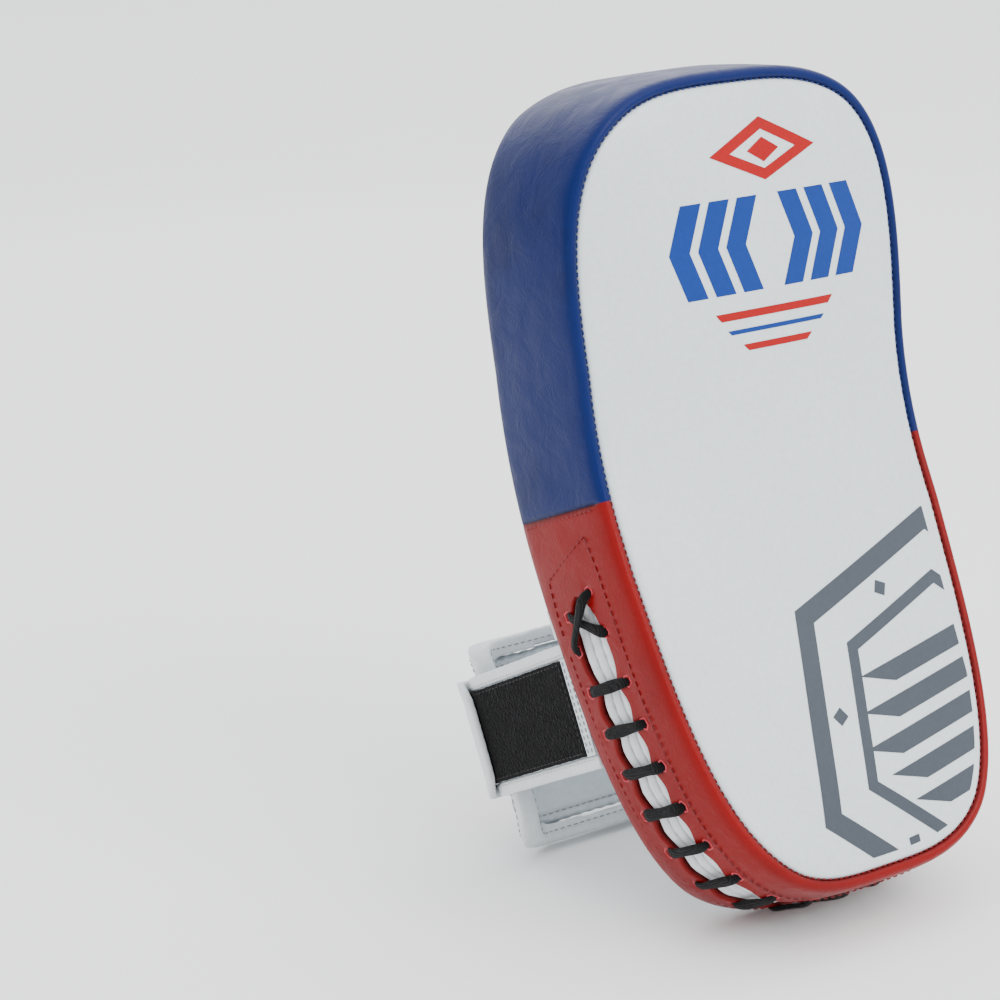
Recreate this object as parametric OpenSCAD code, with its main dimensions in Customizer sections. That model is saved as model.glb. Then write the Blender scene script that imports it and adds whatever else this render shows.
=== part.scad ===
// Curved thai pad, standing on its bottom rim and leaning back on its strap loop.
// Origin: floor level, at the middle of the overall width and depth. +Z up, +X to the
// side whose seam carries the base flap, -Y the strike face, +Y the back.

/* [Pad size] */
// length along the bent middle surface
pad_len = 380; // [340:1:420]
// width across the bend
pad_w = 185.6; // [160:0.2:210]
// thickness at the rim, gusset seam to gusset seam
pad_t = 66; // [50:1:80]
// width gained each side per mm of length, below and above the bend
flare = 0.0525; // [0:0.0025:0.08]
// leather thickness of face, back and gusset
skin = 2.5; // [1.5:0.1:3.5]
// bulge of the strike face over the rim
face_crown = 6; // [2:0.5:12]
// bulge of the back over the rim
back_crown = 8; // [2:0.5:12]

/* [Bend and lean] */
// bend angle of the pad
bend = 19.6069; // [0:0.0001:35]
// length of the straight lower part
s0 = 175; // [150:1:200]
// radius of the bend at mid thickness
bend_r = 229; // [150:1:400]
// backward lean of the lower part as it stands
lean = 25; // [0:1:35]

/* [Outline] */
// length of the rounded bottom end
hb = 159; // [100:1:170]
// squareness of the bottom end
nb = 3.4; // [2:0.1:5]
// length of the rounded top end
ht = 125; // [80:1:125]
// squareness of the top end
nt = 3.1; // [2:0.1:5]

/* [Strap loop] */
// inside half width of the strap at the seams
arch_a = 83.5; // [70:0.5:95]
// height of the strap over the back rim
arch_h = 114; // [80:1:130]
// corner radius of the loop
arch_r = 28; // [15:1:45]
// lower edge of the strap along the pad
strap_z0 = 81.5; // [70:0.5:100]
// strap width
strap_w = 59; // [45:0.5:75]
// leather thickness of the strap
strap_t = 2.7; // [2:0.1:4]

/* [Hand grip] */
// grip position along the pad
grip_s = 240; // [235:1:254]
// height of the grip's middle over the mid surface
grip_y = 82; // [75:1:95]
// grip radius
grip_r = 11; // [8:0.5:15]

/* [Hidden] */
$fn = 96;
rim = pad_t/2;
s1 = s0 + bend_r*bend*PI/180;
mid_s = (s0 + s1)/2;
lift = rim*sin(lean);
half_depth = 90.56;
tuck = 0.06;
lap = 1;
face_R = (95*95 + face_crown*face_crown)/(2*face_crown);
back_R = (95*95 + back_crown*back_crown)/(2*back_crown);
face_y = -rim - face_crown + face_R;
back_y = rim + back_crown - back_R;
face_roll = 60;
back_roll = 50;
roll_f = face_crown + 0.6;
roll_b = back_crown + 0.6;
roll_fR = (face_roll*face_roll + roll_f*roll_f)/(2*roll_f);
roll_bR = (back_roll*back_roll + roll_b*roll_b)/(2*roll_b);
seam_s = 194;
lacing_gap = 10.5;
lay1 = -16;
lay2 = 22;
wall_h = arch_h - arch_r;
arc_l = arch_r*PI/2;
top_l = 2*(arch_a - arch_r);
arch_l = 2*(wall_h + arc_l) + top_l;
strap_z1 = strap_z0 + strap_w;
strap_c = (strap_z0 + strap_z1)/2;
bind = 6.5;
bar_x = 26.5;
fold_k = 6;
steps = 16;
lace_a = [1.52, 9.84, 22.99, 37.63, 50.67, 61.52, 70.48, 77.79, 83.54];
lace_y0 = -12;
lace_y1 = 18;

// ---- outline of the pad ----
function half_w(s) = pad_w/2 + flare*(s < s0 ? s - s0 : s > s1 ? s - s1 : 0);
function low_pt(a) = let(s = hb*(1 - pow(cos(a), 2/nb)))
    [half_w(s)*pow(sin(a), 2/nb), s];
function top_pt(a) = let(s = pad_len - ht + ht*pow(sin(a), 2/nt))
    [half_w(s)*pow(cos(a), 2/nt), s];
function out_n(p, q) = let(d = q - p) [d[1], -d[0]]/norm(d);
function low_n(a) = out_n(low_pt(max(a - 0.5, 0)), low_pt(min(a + 0.5, 90)));
function top_n(a) = out_n(top_pt(max(a - 0.5, 0)), top_pt(min(a + 0.5, 90)));
function low_in(a, e) = a < 0.01 ? [0, e] : low_pt(a) - e*low_n(a);
function top_in(a, e) = a > 89.99 ? [0, pad_len - e] : top_pt(a) - e*top_n(a);
function flip(p) = [-p[0], p[1]];
function low_side(e, cut) = concat(
    [for (i = [0:steps]) low_in(i*90/steps, e)],
    [[half_w(cut) - e, cut]]);
function top_side(e, cut) = concat(
    [[half_w(cut) - e, cut]],
    [for (i = [0:steps]) top_in(i*90/steps, e)]);
function closed(p) = concat(p, [for (i = [len(p) - 1:-1:0]) flip(p[i])]);

// ---- frames along the bent pad ----
module at_bend(deg) {
    translate([0, -bend_r, s0]) rotate([deg, 0, 0]) translate([0, bend_r, 0]) children();
}
module at_top() {
    at_bend(bend) translate([0, 0, -s1]) children();
}
module at_mid() {
    at_bend(bend/2) translate([0, 0, -mid_s]) children();
}
module along_y() {
    translate([0, 90, 0]) rotate([90, 0, 0]) linear_extrude(180) children();
}
module along_x(x0, x1) {
    translate([x0, 0, 0]) rotate([90, 0, 90]) linear_extrude(x1 - x0) children();
}
module stand() {
    translate([0, -half_depth, lift]) rotate([-lean, 0, 0]) children();
}

// ---- cross-section (x across, y through the pad), inset by c, between y0 and y1 ----
module section(c, y0, y1) {
    intersection() {
        translate([0, face_y]) circle(r = face_R - c, $fn = 480);
        translate([0, back_y]) circle(r = back_R - c, $fn = 480);
        translate([-115, y0]) square([230, y1 - y0]);
    }
}
// ---- roll-off at the two ends, drawn with y through the pad and s upward ----
module roll_low(c) {
    intersection() {
        union() {
            translate([-rim - roll_f + roll_fR, face_roll]) circle(r = roll_fR - c, $fn = 360);
            translate([-rim - roll_f - 12, face_roll]) square([200, 400]);
        }
        union() {
            translate([rim + roll_b - roll_bR, back_roll]) circle(r = roll_bR - c, $fn = 360);
            translate([-150, back_roll]) square([150 + rim + roll_b + 12, 400]);
        }
        translate([-80, -1]) square([160, 500]);
    }
}
module roll_top(c) {
    translate([0, pad_len]) mirror([0, 1]) roll_low(c);
}
module seg_low(c, y0, y1, g = 0, t = tuck) {
    intersection() {
        translate([0, 0, -2]) linear_extrude(s0 + 2 + lap + g) section(c + t, y0 + t, y1 - t);
        along_x(-115, 115) roll_low(c);
    }
}
module seg_mid(c, y0, y1) {
    translate([0, -bend_r, s0]) rotate([90, 0, 90]) rotate_extrude(angle = bend, $fn = 180)
        translate([bend_r, 0]) mirror([1, -1]) section(c, y0, y1);
}
module seg_top(c, y0, y1, g = 0, t = tuck) {
    intersection() {
        translate([0, 0, s1 - lap - g]) linear_extrude(pad_len - s1 + 2 + lap + g)
            section(c + t, y0 + t, y1 - t);
        along_x(-115, 115) roll_top(c);
    }
}
module plan_low(e) {
    polygon(closed(low_side(e + tuck, s0 + lap)));
}
module plan_mid(e) {
    polygon(closed([[half_w(s0) - e, s0 - 12], [half_w(s1) - e, s1 + 12]]));
}
module plan_top(e) {
    polygon(closed(top_side(e + tuck, s1 - lap)));
}
// padded volume with crown inset c and outline inset e
module layer(c, e_low, e_mid, e_top, y0, y1) {
    intersection() {
        seg_low(c, y0, y1);
        along_y() plan_low(e_low);
    }
    intersection() {
        seg_mid(c, y0, y1);
        at_mid() along_y() plan_mid(e_mid);
    }
    at_top() intersection() {
        seg_top(c, y0, y1);
        along_y() plan_top(e_top);
    }
}
// leather shell over face or back, cut to a plan shape given for each part
module shell_low(y0, y1) {
    difference() {
        seg_low(0, y0, y1);
        seg_low(skin, y0 - 5, y1 + 5, 3, -tuck);
    }
}
module shell_mid(y0, y1) {
    translate([0, -bend_r, s0]) rotate([90, 0, 90]) rotate_extrude(angle = bend, $fn = 180)
        translate([bend_r, 0]) mirror([1, -1]) difference() {
            section(0, y0, y1);
            section(skin, y0 - 5, y1 + 5);
        }
}
module shell_top(y0, y1) {
    difference() {
        seg_top(0, y0, y1);
        seg_top(skin, y0 - 5, y1 + 5, 3, -tuck);
    }
}
// lengthwise strip of the back between two seam lines k0 and k1
function seam_x(k, s) = s < s0 ? [0, 50 - 8*s/s0, 66 - 4*s/s0, 130][k]
    : s < s1 ? [0, 42, 62, 130][k]
    : [0, 42 + 4*(s - s1)/125, 62 + 3*(s - s1)/125, 130][k];
function edge_x(k, s) = k < 0 ? -seam_x(-k, s) : seam_x(k, s);
module strip_plan(k0, k1, sa, sb, lo, hi) {
    polygon([[edge_x(k0, sa) + lo, sa], [edge_x(k1, sa) + hi, sa],
        [edge_x(k1, sb) + hi, sb], [edge_x(k0, sb) + lo, sb]]);
}
module back_strip(k0, k1) {
    intersection() {
        shell_low(0, 60);
        along_y() intersection() {
            plan_low(0);
            strip_plan(k0, k1, -5, s0 + lap, tuck, -tuck);
        }
    }
    intersection() {
        shell_mid(0, 60);
        at_mid() along_y() intersection() {
            plan_mid(0);
            translate([edge_x(k0, s0), s0 - 12]) square([edge_x(k1, s0) - edge_x(k0, s0), s1 - s0 + 24]);
        }
    }
    at_top() intersection() {
        shell_top(0, 60);
        along_y() intersection() {
            plan_top(0);
            strip_plan(k0, k1, s1 - lap, pad_len + 5, tuck, -tuck);
        }
    }
}

// ---- strap loop: a path from the -X seam up, over and down to the +X seam ----
function arch_half(l, k) = l < wall_h ? [-(arch_a + k), rim + l]
    : l < wall_h + arc_l ? let(f = (l - wall_h)/arch_r*180/PI)
        [-(arch_a - arch_r) - (arch_r + k)*cos(f), rim + wall_h + (arch_r + k)*sin(f)]
    : [-(arch_a - arch_r) + l - wall_h - arc_l, rim + arch_h + k];
function arch_pt(l, k) = l <= arch_l/2 ? arch_half(l, k) : flip(arch_half(arch_l - l, k));
function l_of_x(x) = wall_h + arc_l + x + arch_a - arch_r;
function stops(l0, l1) = concat([l0],
    [for (i = [0:15]) let(l = wall_h + arc_l*i/15) if (l > l0 + 0.4 && l < l1 - 0.4) l],
    [for (i = [15:-1:0]) let(l = arch_l - wall_h - arc_l*i/15) if (l > l0 + 0.4 && l < l1 - 0.4) l],
    [l1]);
function rev(v) = [for (i = [len(v) - 1:-1:0]) v[i]];
module band(l0, l1, k0, k1) {
    s = stops(l0, l1);
    polygon(concat([for (l = s) arch_pt(l, k0)], [for (l = rev(s)) arch_pt(l, k1)]));
}
module lengthwise(z0, z1) {
    translate([0, 0, z0]) linear_extrude(z1 - z0) children();
}
// removes the square corners of a free end that hangs over the -X shoulder
module end_corners(y0, z0, z1, r) {
    along_x(-120, -40) difference() {
        translate([y0 - 30, z0 - 5]) square([30 + r, z1 - z0 + 10]);
        translate([y0 + r, z0 + r]) circle(r = r);
        translate([y0 + r, z1 - r]) circle(r = r);
        translate([y0, z0 + r]) square([r + 1, z1 - z0 - 2*r]);
    }
}
module perimeter_at(a, side) {
    p = low_pt(a);
    n = low_n(a);
    mirror([side < 0 ? 1 : 0, 0, 0]) translate([p[0], 0, p[1]])
        rotate([0, atan2(-n[1], n[0]), 0]) children();
}

// ======================= pad body =======================
module face_panel() {
    color("white") stand() {
        intersection() {
            shell_low(-60, 0);
            along_y() plan_low(0);
        }
        intersection() {
            shell_mid(-60, 0);
            at_mid() along_y() plan_mid(0);
        }
        at_top() intersection() {
            shell_top(-60, 0);
            along_y() plan_top(0);
        }
    }
}
module strike_foam() {
    color("khaki") stand() layer(skin, skin, skin, skin, -60, lay1);
}
module core_foam() {
    color("wheat") stand() layer(skin, lacing_gap, skin, skin, lay1, lay2);
}
module backing_foam() {
    color("tan") stand() layer(skin, skin, skin, skin, lay2, 60);
}
module back_centre() {
    color("white") stand() back_strip(-1, 1);
}
module stripe_right() {
    color("blue") stand() back_strip(1, 2);
}
module stripe_left() {
    color("blue") stand() back_strip(-2, -1);
}
module side_panel_right() {
    color("white") stand() back_strip(2, 3);
}
module side_panel_left() {
    color("white") stand() back_strip(-3, -2);
}
// thin raised cord that follows the back along one stripe seam
module cord_line(k) {
    w = 1.1;
    h = 1.1;
    intersection() {
        difference() {
            seg_low(-h, 0, 60);
            seg_low(0, -5, 65, 3, -tuck);
        }
        along_y() intersection() {
            plan_low(0.6);
            strip_plan(k, k, -5, s0 + lap, tuck - w, w - tuck);
        }
    }
    intersection() {
        translate([0, -bend_r, s0]) rotate([90, 0, 90]) rotate_extrude(angle = bend, $fn = 180)
            translate([bend_r, 0]) mirror([1, -1]) difference() {
                section(-h, 0, 60);
                section(0, -5, 65);
            }
        at_mid() along_y() translate([edge_x(k, s0) - w, s0 - 12]) square([2*w, s1 - s0 + 24]);
    }
    at_top() intersection() {
        difference() {
            seg_top(-h, 0, 60);
            seg_top(0, -5, 65, 3, -tuck);
        }
        along_y() intersection() {
            plan_top(0.6);
            strip_plan(k, k, s1 - lap, pad_len + 5, tuck - w, w - tuck);
        }
    }
}
module stripe_piping_right() {
    color("white") stand() {
        cord_line(1);
        cord_line(2);
    }
}
module stripe_piping_left() {
    color("white") stand() {
        cord_line(-1);
        cord_line(-2);
    }
}
// ---- gusset round the rim ----
module below_seam() {
    at_bend((seam_s - s0)/bend_r*180/PI) translate([-150, -bend_r + 60, -400]) cube([300, 300, 400]);
}
module rim_low(e0, e1, y0, y1) {
    intersection() {
        seg_low(skin, y0, y1);
        along_y() difference() {
            plan_low(e0);
            polygon(closed(low_side(e1 - tuck, s0 + 5)));
        }
    }
}
module rim_mid(e0, e1, y0, y1) {
    intersection() {
        seg_mid(skin, y0, y1);
        at_mid() along_y() difference() {
            plan_mid(e0);
            polygon(closed([[half_w(s0) - e1, s0 - 20], [half_w(s1) - e1, s1 + 20]]));
        }
    }
}
module rim_top(e0, e1, y0, y1) {
    at_top() intersection() {
        seg_top(skin, y0, y1);
        along_y() difference() {
            plan_top(e0);
            polygon(closed(top_side(e1 - tuck, s1 - 5)));
        }
    }
}
module slot_shape(g) {
    translate([4 - 10 - g, -30]) square([20 + 2*g, 177]);
    translate([4, 147]) circle(r = 10 + g);
}
module lace_holes(depth) {
    for (side = [-1, 1], a = lace_a, y = [lace_y0, lace_y1])
        perimeter_at(a, side) translate([-depth, y, 0]) rotate([0, 90, 0])
            cylinder(h = depth + 4, r = 1.7, $fn = 24);
    for (side = [-1, 1], q = [[157, -6.5], [150, 15.5], [138, -9], [134, 17]])
        translate([side*(half_w(q[1] > 100 ? 150 : q[0]) - depth + 2), q[1], q[0]])
            rotate([0, side*90, 0]) translate([0, 0, -4]) cylinder(h = depth + 8, r = 1.7, $fn = 24);
}
module gusset_red() {
    color("red") stand() difference() {
        intersection() {
            union() {
                rim_low(0, skin, -60, 60);
                rim_mid(0, skin, -60, 60);
            }
            below_seam();
        }
        along_x(-110, 110) slot_shape(0);
        lace_holes(6);
    }
}
module gusset_blue() {
    color("blue") stand() {
        difference() {
            rim_mid(0, skin, -60, 60);
            below_seam();
        }
        rim_top(0, skin, -60, 60);
    }
}
// white strip behind the slot, with three lengthwise ridges
module slot_lining() {
    color("white") stand() difference() {
        union() {
            rim_low(4.6, 6.4, lay1 + 0.5, lay2 - 0.5);
            for (y = [-2.5, 4, 10.5])
                rim_low(3.0, 4.8, y - 2.4, y + 2.4);
        }
        lace_holes(9);
        translate([-150, -100, 163]) cube([300, 200, 60]);
    }
}
// one lace run from point p to point q
module run(p, q, r) {
    d = q - p;
    n = norm(d);
    translate(p) rotate([0, acos(d[2]/n), atan2(d[1], d[0])]) cylinder(h = n, r = r, $fn = 16);
}
function rim_pt(a, side, dep, y) = let(p = low_pt(a), n = low_n(a))
    [side*(p[0] - dep*n[0]), y, p[1] - dep*n[1]];
module stitch(a, side) {
    perimeter_at(a, side) {
        translate([0.3, lace_y0 - 1.5, -2.4]) cube([1.9, lace_y1 - lace_y0 + 3, 4.8]);
        for (y = [lace_y0, lace_y1])
            translate([-8.6, y, 0]) rotate([0, 90, 0]) cylinder(h = 9.4, r = 1.35, $fn = 16);
    }
}
module cross_run(side, p, q, k) {
    d = [q[1] - p[1], q[0] - p[0]];
    x = half_w(146) + 0.3 + k;
    translate([side*x, p[1], p[0]]) rotate([atan2(d[1], d[0]), 0, 0])
        translate([side > 0 ? 0 : -1.7, -1.5, -2.2]) cube([1.7, norm(d) + 3, 4.4]);
    for (w = [p, q])
        translate([side*(x + 0.8), w[1], w[0]]) rotate([0, -side*90, 0])
            cylinder(h = 11.3 + k, r = 1.35, $fn = 16);
}
module lace() {
    n = len(lace_a);
    color("black") stand() {
        for (side = [-1, 1]) {
            for (a = lace_a) stitch(a, side);
            for (i = [0:n - 2])
                run(rim_pt(lace_a[i], side, 8, lace_y1), rim_pt(lace_a[i + 1], side, 8, lace_y0), 1.3);
            cross_run(side, [157, -6.5], [134, 17], 1.8);
            cross_run(side, [138, -9], [150, 15.5], 0);
            run(rim_pt(lace_a[n - 1], side, 8, lace_y1), [side*(half_w(138) - 8), -9, 138], 1.3);
            run([side*(half_w(150) - 8), 15.5, 150], [side*(half_w(157) - 8), -6.5, 157], 1.3);
            run([side*(half_w(138) - 8), -9, 138], [side*(half_w(134) - 8), 17, 134], 1.3);
        }
        run(rim_pt(lace_a[0], -1, 8, lace_y1), rim_pt(lace_a[0], 1, 8, lace_y0), 1.3);
    }
}

// ======================= strap loop =======================
module conform() {
    difference() {
        children();
        seg_low(0, -60, 60);
    }
}
module strap_band() {
    color("white") stand() {
        conform() lengthwise(strap_z0 + bind, strap_z1 - bind) {
            band(0.5, l_of_x(bar_x), 0.3, 0.3 + strap_t);
        }
        lengthwise(strap_z0 + bind, strap_z1 - bind) fold_ring(3, 3 + strap_t);
    }
}
module fold_ring(r0, r1) {
    translate([bar_x, rim + arch_h + fold_k]) intersection() {
        difference() {
            circle(r = r1);
            circle(r = r0);
        }
        translate([0, -20]) square([20, 40]);
    }
}
module strap_binding() {
    color("gainsboro") stand() for (z = [strap_z0, strap_z1 - bind]) {
        conform() lengthwise(z, z + bind) band(0.5, l_of_x(bar_x), -0.2, 3.5);
        lengthwise(z, z + bind) fold_ring(2.5, 6.2);
    }
}
module root_strip() {
    color("white") stand() conform() lengthwise(strap_z0 + bind, strap_z1 - bind)
        band(1.2, 8.2, 3.0, 4.0);
}
module seam_tab() {
    color("white") stand() conform() translate([-arch_a - 3.6, rim - 2, 143]) cube([3.2, 10, 14]);
}
module loop_patch() {
    color("black") stand() lengthwise(strap_z0 + bind + 0.2, strap_z1 - bind - 0.2)
        band(8.5, l_of_x(-38), 3.0, 4.2);
}
module tail_shape(l0, x0, k, t, top) {
    s = stops(l0, l_of_x(-8));
    polygon(concat([for (l = s) arch_pt(l, k)],
        [[8, rim + arch_h + top], [x0, rim + arch_h + top]],
        [[x0, rim + arch_h + top + t], [8, rim + arch_h + top + t]],
        [for (l = rev(s)) arch_pt(l, k + t)]));
}
module strap_tail() {
    color("white") stand() difference() {
        lengthwise(strap_z0 + bind, strap_z1 - bind) tail_shape(97, bar_x - 0.1, 5.7, strap_t, 9);
        end_corners(rim + wall_h + 12, strap_z0 + bind, strap_z1 - bind, 10);
    }
}
module tail_binding() {
    color("gainsboro") stand() difference() {
        lengthwise(strap_z0, strap_z1) tail_shape(90, bar_x - 0.1, 5.3, strap_t + 1, 8.7);
        end_corners(rim + wall_h + 5, strap_z0, strap_z1, 16);
        difference() {
            lengthwise(strap_z0 + bind, strap_z1 - bind) tail_shape(97, bar_x + 5, 4, strap_t + 4, 7);
            end_corners(rim + wall_h + 12, strap_z0 + bind, strap_z1 - bind, 10);
        }
    }
}
module hook_patch() {
    color("black") stand() lengthwise(strap_z0 + bind + 1, strap_z1 - bind - 1)
        band(107, l_of_x(-38), 4.5, 5.7);
}
module keeper() {
    x0 = -34;
    y0 = rim + arch_h;
    color("white") stand() {
        translate([x0, y0 + 3.8, 79]) cube([18, 1.2, 63.8]);
        translate([x0, y0 - 0.6, 79]) cube([18, 5.6, 1.5]);
        translate([x0, y0 - 0.6, 141.3]) cube([18, 5.6, 1.5]);
        translate([x0, y0 - 0.6, 64]) cube([18, 1.4, 15.5]);
        translate([x0, y0 - 0.6, 142]) cube([18, 1.4, 7]);
    }
}
module cuff_pad() {
    color("white") stand() conform() difference() {
        lengthwise(61, 149) band(96, arch_l - 1, -10.3, -0.6);
        end_corners(rim + wall_h + 10, 61, 149, 14);
    }
}
module cuff_piping() {
    color("gainsboro") stand() conform() difference() {
        lengthwise(52.9, 157) band(88, arch_l - 1, -11.2, -0.5);
        end_corners(rim + wall_h + 2, 52.9, 157, 22);
        difference() {
            lengthwise(61, 149) band(96, arch_l + 20, -20, 5);
            end_corners(rim + wall_h + 10, 61, 149, 14);
        }
    }
}
module flap_side(e) {
    polygon([[rim - 5, 58 + e], [rim + 76, 60 + e], [rim + 76, 158 - e], [rim - 5, 160 - e]]);
}
module base_flap() {
    color("white") stand() difference() {
        conform() intersection() {
            lengthwise(50, 170) band(arch_l - 76, arch_l - 0.5, 0.2, 3.7);
            along_x(50, 110) flap_side(5.5);
        }
        rivet_axis() cylinder(h = 30, r = 1.7, center = true, $fn = 24);
    }
}
module flap_piping() {
    color("gainsboro") stand() conform() intersection() {
        lengthwise(50, 170) band(arch_l - 63, arch_l - 0.5, -0.2, 4.2);
        along_x(50, 110) difference() {
            flap_side(0);
            flap_side(5.5);
        }
    }
}
module wing_side() {
    union() {
        translate([rim + 84, 40]) square([60, 140]);
        polygon([[rim + 64, 63], [rim + 84, 57.3], [rim + 84, 165], [rim + 64, 159]]);
    }
}
module wing_plan(x0, z0, z1, r) {
    translate([x0 + r, z0]) square([100, z1 - z0]);
    translate([x0, z0 + r]) square([r + 1, z1 - z0 - 2*r]);
    translate([x0 + r, z0 + r]) circle(r = r);
    translate([x0 + r, z1 - r]) circle(r = r);
}
module slot_plan(g) {
    translate([26 - g, 72 - g]) square([12.5 + 2*g, 78 + 2*g]);
}
module wing_pad() {
    color("white") stand() intersection() {
        lengthwise(64.3, 158) band(l_of_x(17), arch_l - 64, 3.7, 8.4);
        along_x(0, 110) offset(delta = -7) wing_side_open();
        along_y2() difference() {
            wing_plan(17, 64.3, 158, 23);
            slot_plan(0);
        }
    }
}
module wing_side_open() {
    union() {
        translate([rim + 84, 40]) square([70, 140]);
        polygon([[rim + 50, 66], [rim + 84, 57.3], [rim + 84, 165], [rim + 50, 156]]);
    }
}
module along_y2() {
    translate([0, 190, 0]) rotate([90, 0, 0]) linear_extrude(190) children();
}
module wing_piping() {
    color("gainsboro") stand() intersection() {
        lengthwise(57.3, 165) band(l_of_x(10), arch_l - 64, 3.8, 8.4);
        along_x(0, 110) wing_side();
        difference() {
            along_y2() wing_plan(10, 57.3, 165, 30);
            intersection() {
                along_y2() wing_plan(17, 64.3, 158, 23);
                along_x(0, 110) offset(delta = -7) wing_side_open();
            }
        }
    }
}
module slot_rim() {
    color("white") stand() translate([0, rim + arch_h + 10.4, 0]) rotate([90, 0, 0]) linear_extrude(2)
        difference() {
            translate([18, 62]) square([28, 98]);
            slot_plan(0);
            translate([10, strap_z0 - 1]) square([28.5, strap_w + 2]);
        }
}
module triangle_patch() {
    color("white") stand() difference() {
        along_x(arch_a + 3.7, arch_a + 5.2)
            polygon([[rim + 62, strap_c - 31], [rim + 62, strap_c + 31], [rim + 28, strap_c]]);
        rivet_axis() cylinder(h = 30, r = 1.7, center = true, $fn = 24);
    }
}
module rivet_axis() {
    translate([arch_a + 5.2, rim + 49, strap_c]) rotate([0, 90, 0]) children();
}
module rivet_cap() {
    R = 7.77;
    color("silver") stand() rivet_axis() intersection() {
        translate([0, 0, 2.6 - R]) sphere(r = R);
        cylinder(h = 5, r = 6);
    }
}
module rivet_post() {
    color("silver") stand() rivet_axis() translate([0, 0, -5]) cylinder(h = 5, r = 1.6, $fn = 32);
}
module rivet_washer() {
    color("silver") stand() rivet_axis() translate([0, 0, -5.5]) cylinder(h = 0.5, r = 5, $fn = 48);
}

// ======================= hand grip =======================
pin_y = 47.3;
pin_x = 63.5;
module at_grip() {
    at_bend((grip_s - s0)/bend_r*180/PI) children();
}
module grip_handle() {
    t = 20;
    x1 = 34;
    color("white") stand() at_grip() union() {
        translate([-x1, grip_y, 0]) rotate([0, 90, 0]) cylinder(h = 2*x1, r = grip_r);
        for (m = [0, 1]) mirror([m, 0, 0]) {
            translate([x1, grip_y - t, 0]) rotate_extrude(angle = 90) translate([t, 0]) circle(r = grip_r);
            translate([x1 + t, grip_y - t, 0]) rotate([90, 0, 0]) cylinder(h = 10, r1 = grip_r, r2 = 7);
            translate([x1 + t, pin_y, 0]) rotate([-90, 0, 0]) cylinder(h = grip_y - t - 10 - pin_y, r = 7);
            translate([x1 + t - 7, pin_y, 0]) rotate([0, 90, 0]) cylinder(h = 28, r = 5);
        }
    }
}
module back_skin_near(g0, g1) {
    translate([0, -bend_r, 0]) rotate([-15, 0, 0]) rotate([90, 0, 90])
        rotate_extrude(angle = 30, $fn = 180) translate([bend_r, 0]) mirror([1, -1]) difference() {
            section(g1, 0, 70);
            section(g0, -5, 75);
        }
}
module grip_anchor() {
    difference() {
        union() {
            intersection() {
                back_skin_near(-0.2, -2.8);
                translate([pin_x, 20, -22]) cube([10, 40, 44]);
            }
            difference() {
                union() {
                    translate([pin_x, pin_y, 0]) rotate([0, 90, 0]) cylinder(h = 10, r = 7.4);
                    translate([pin_x, 39, -7.4]) cube([10, pin_y - 39, 14.8]);
                }
                translate([pin_x - 1, 30, -5.3]) cube([12, pin_y - 30, 10.6]);
            }
        }
        translate([pin_x - 1, pin_y, 0]) rotate([0, 90, 0]) cylinder(h = 12, r = 5.3);
    }
}
module grip_anchor_right() {
    color("white") stand() at_grip() grip_anchor();
}
module grip_anchor_left() {
    color("white") stand() at_grip() mirror([1, 0, 0]) grip_anchor();
}
module grip_rivets() {
    R = 4.3;
    color("silver") stand() at_grip() for (sx = [-1, 1], sz = [-1, 1])
        translate([sx*(pin_x + 5), 39.25, sz*15.5]) rotate([sz*3.3, 0, -sx*6.9]) rotate([-90, 0, 0])
            intersection() {
                translate([0, 0, 1.6 - R]) sphere(r = R);
                cylinder(h = 5, r = 4.5);
            }
}

face_panel();
strike_foam();
core_foam();
backing_foam();
back_centre();
stripe_left();
stripe_right();
side_panel_left();
side_panel_right();
stripe_piping_left();
stripe_piping_right();
gusset_blue();
gusset_red();
slot_lining();
lace();
strap_band();
strap_binding();
root_strip();
seam_tab();
loop_patch();
strap_tail();
tail_binding();
hook_patch();
keeper();
cuff_pad();
cuff_piping();
base_flap();
flap_piping();
wing_pad();
wing_piping();
slot_rim();
triangle_patch();
rivet_cap();
rivet_post();
rivet_washer();
grip_handle();
grip_anchor_left();
grip_anchor_right();
grip_rivets();
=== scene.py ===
import math
import bmesh
import bpy
import numpy as np
from mathutils import Matrix, Vector, noise
from mathutils.bvhtree import BVHTree
from mathutils.geometry import tessellate_polygon

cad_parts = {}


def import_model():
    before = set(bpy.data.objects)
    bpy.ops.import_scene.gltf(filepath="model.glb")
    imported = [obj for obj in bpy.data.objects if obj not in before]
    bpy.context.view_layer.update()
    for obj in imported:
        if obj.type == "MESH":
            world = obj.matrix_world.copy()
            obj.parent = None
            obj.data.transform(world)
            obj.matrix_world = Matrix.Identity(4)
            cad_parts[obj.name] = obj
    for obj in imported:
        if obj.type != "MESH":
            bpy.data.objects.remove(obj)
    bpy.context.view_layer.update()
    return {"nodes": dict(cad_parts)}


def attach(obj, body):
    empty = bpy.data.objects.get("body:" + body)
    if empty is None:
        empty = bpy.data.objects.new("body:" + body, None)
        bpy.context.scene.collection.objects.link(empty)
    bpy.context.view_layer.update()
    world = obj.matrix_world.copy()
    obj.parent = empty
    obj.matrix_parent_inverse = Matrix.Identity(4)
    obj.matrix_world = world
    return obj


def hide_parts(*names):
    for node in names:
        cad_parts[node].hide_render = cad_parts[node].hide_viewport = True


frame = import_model()
NODES = frame["nodes"]

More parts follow.
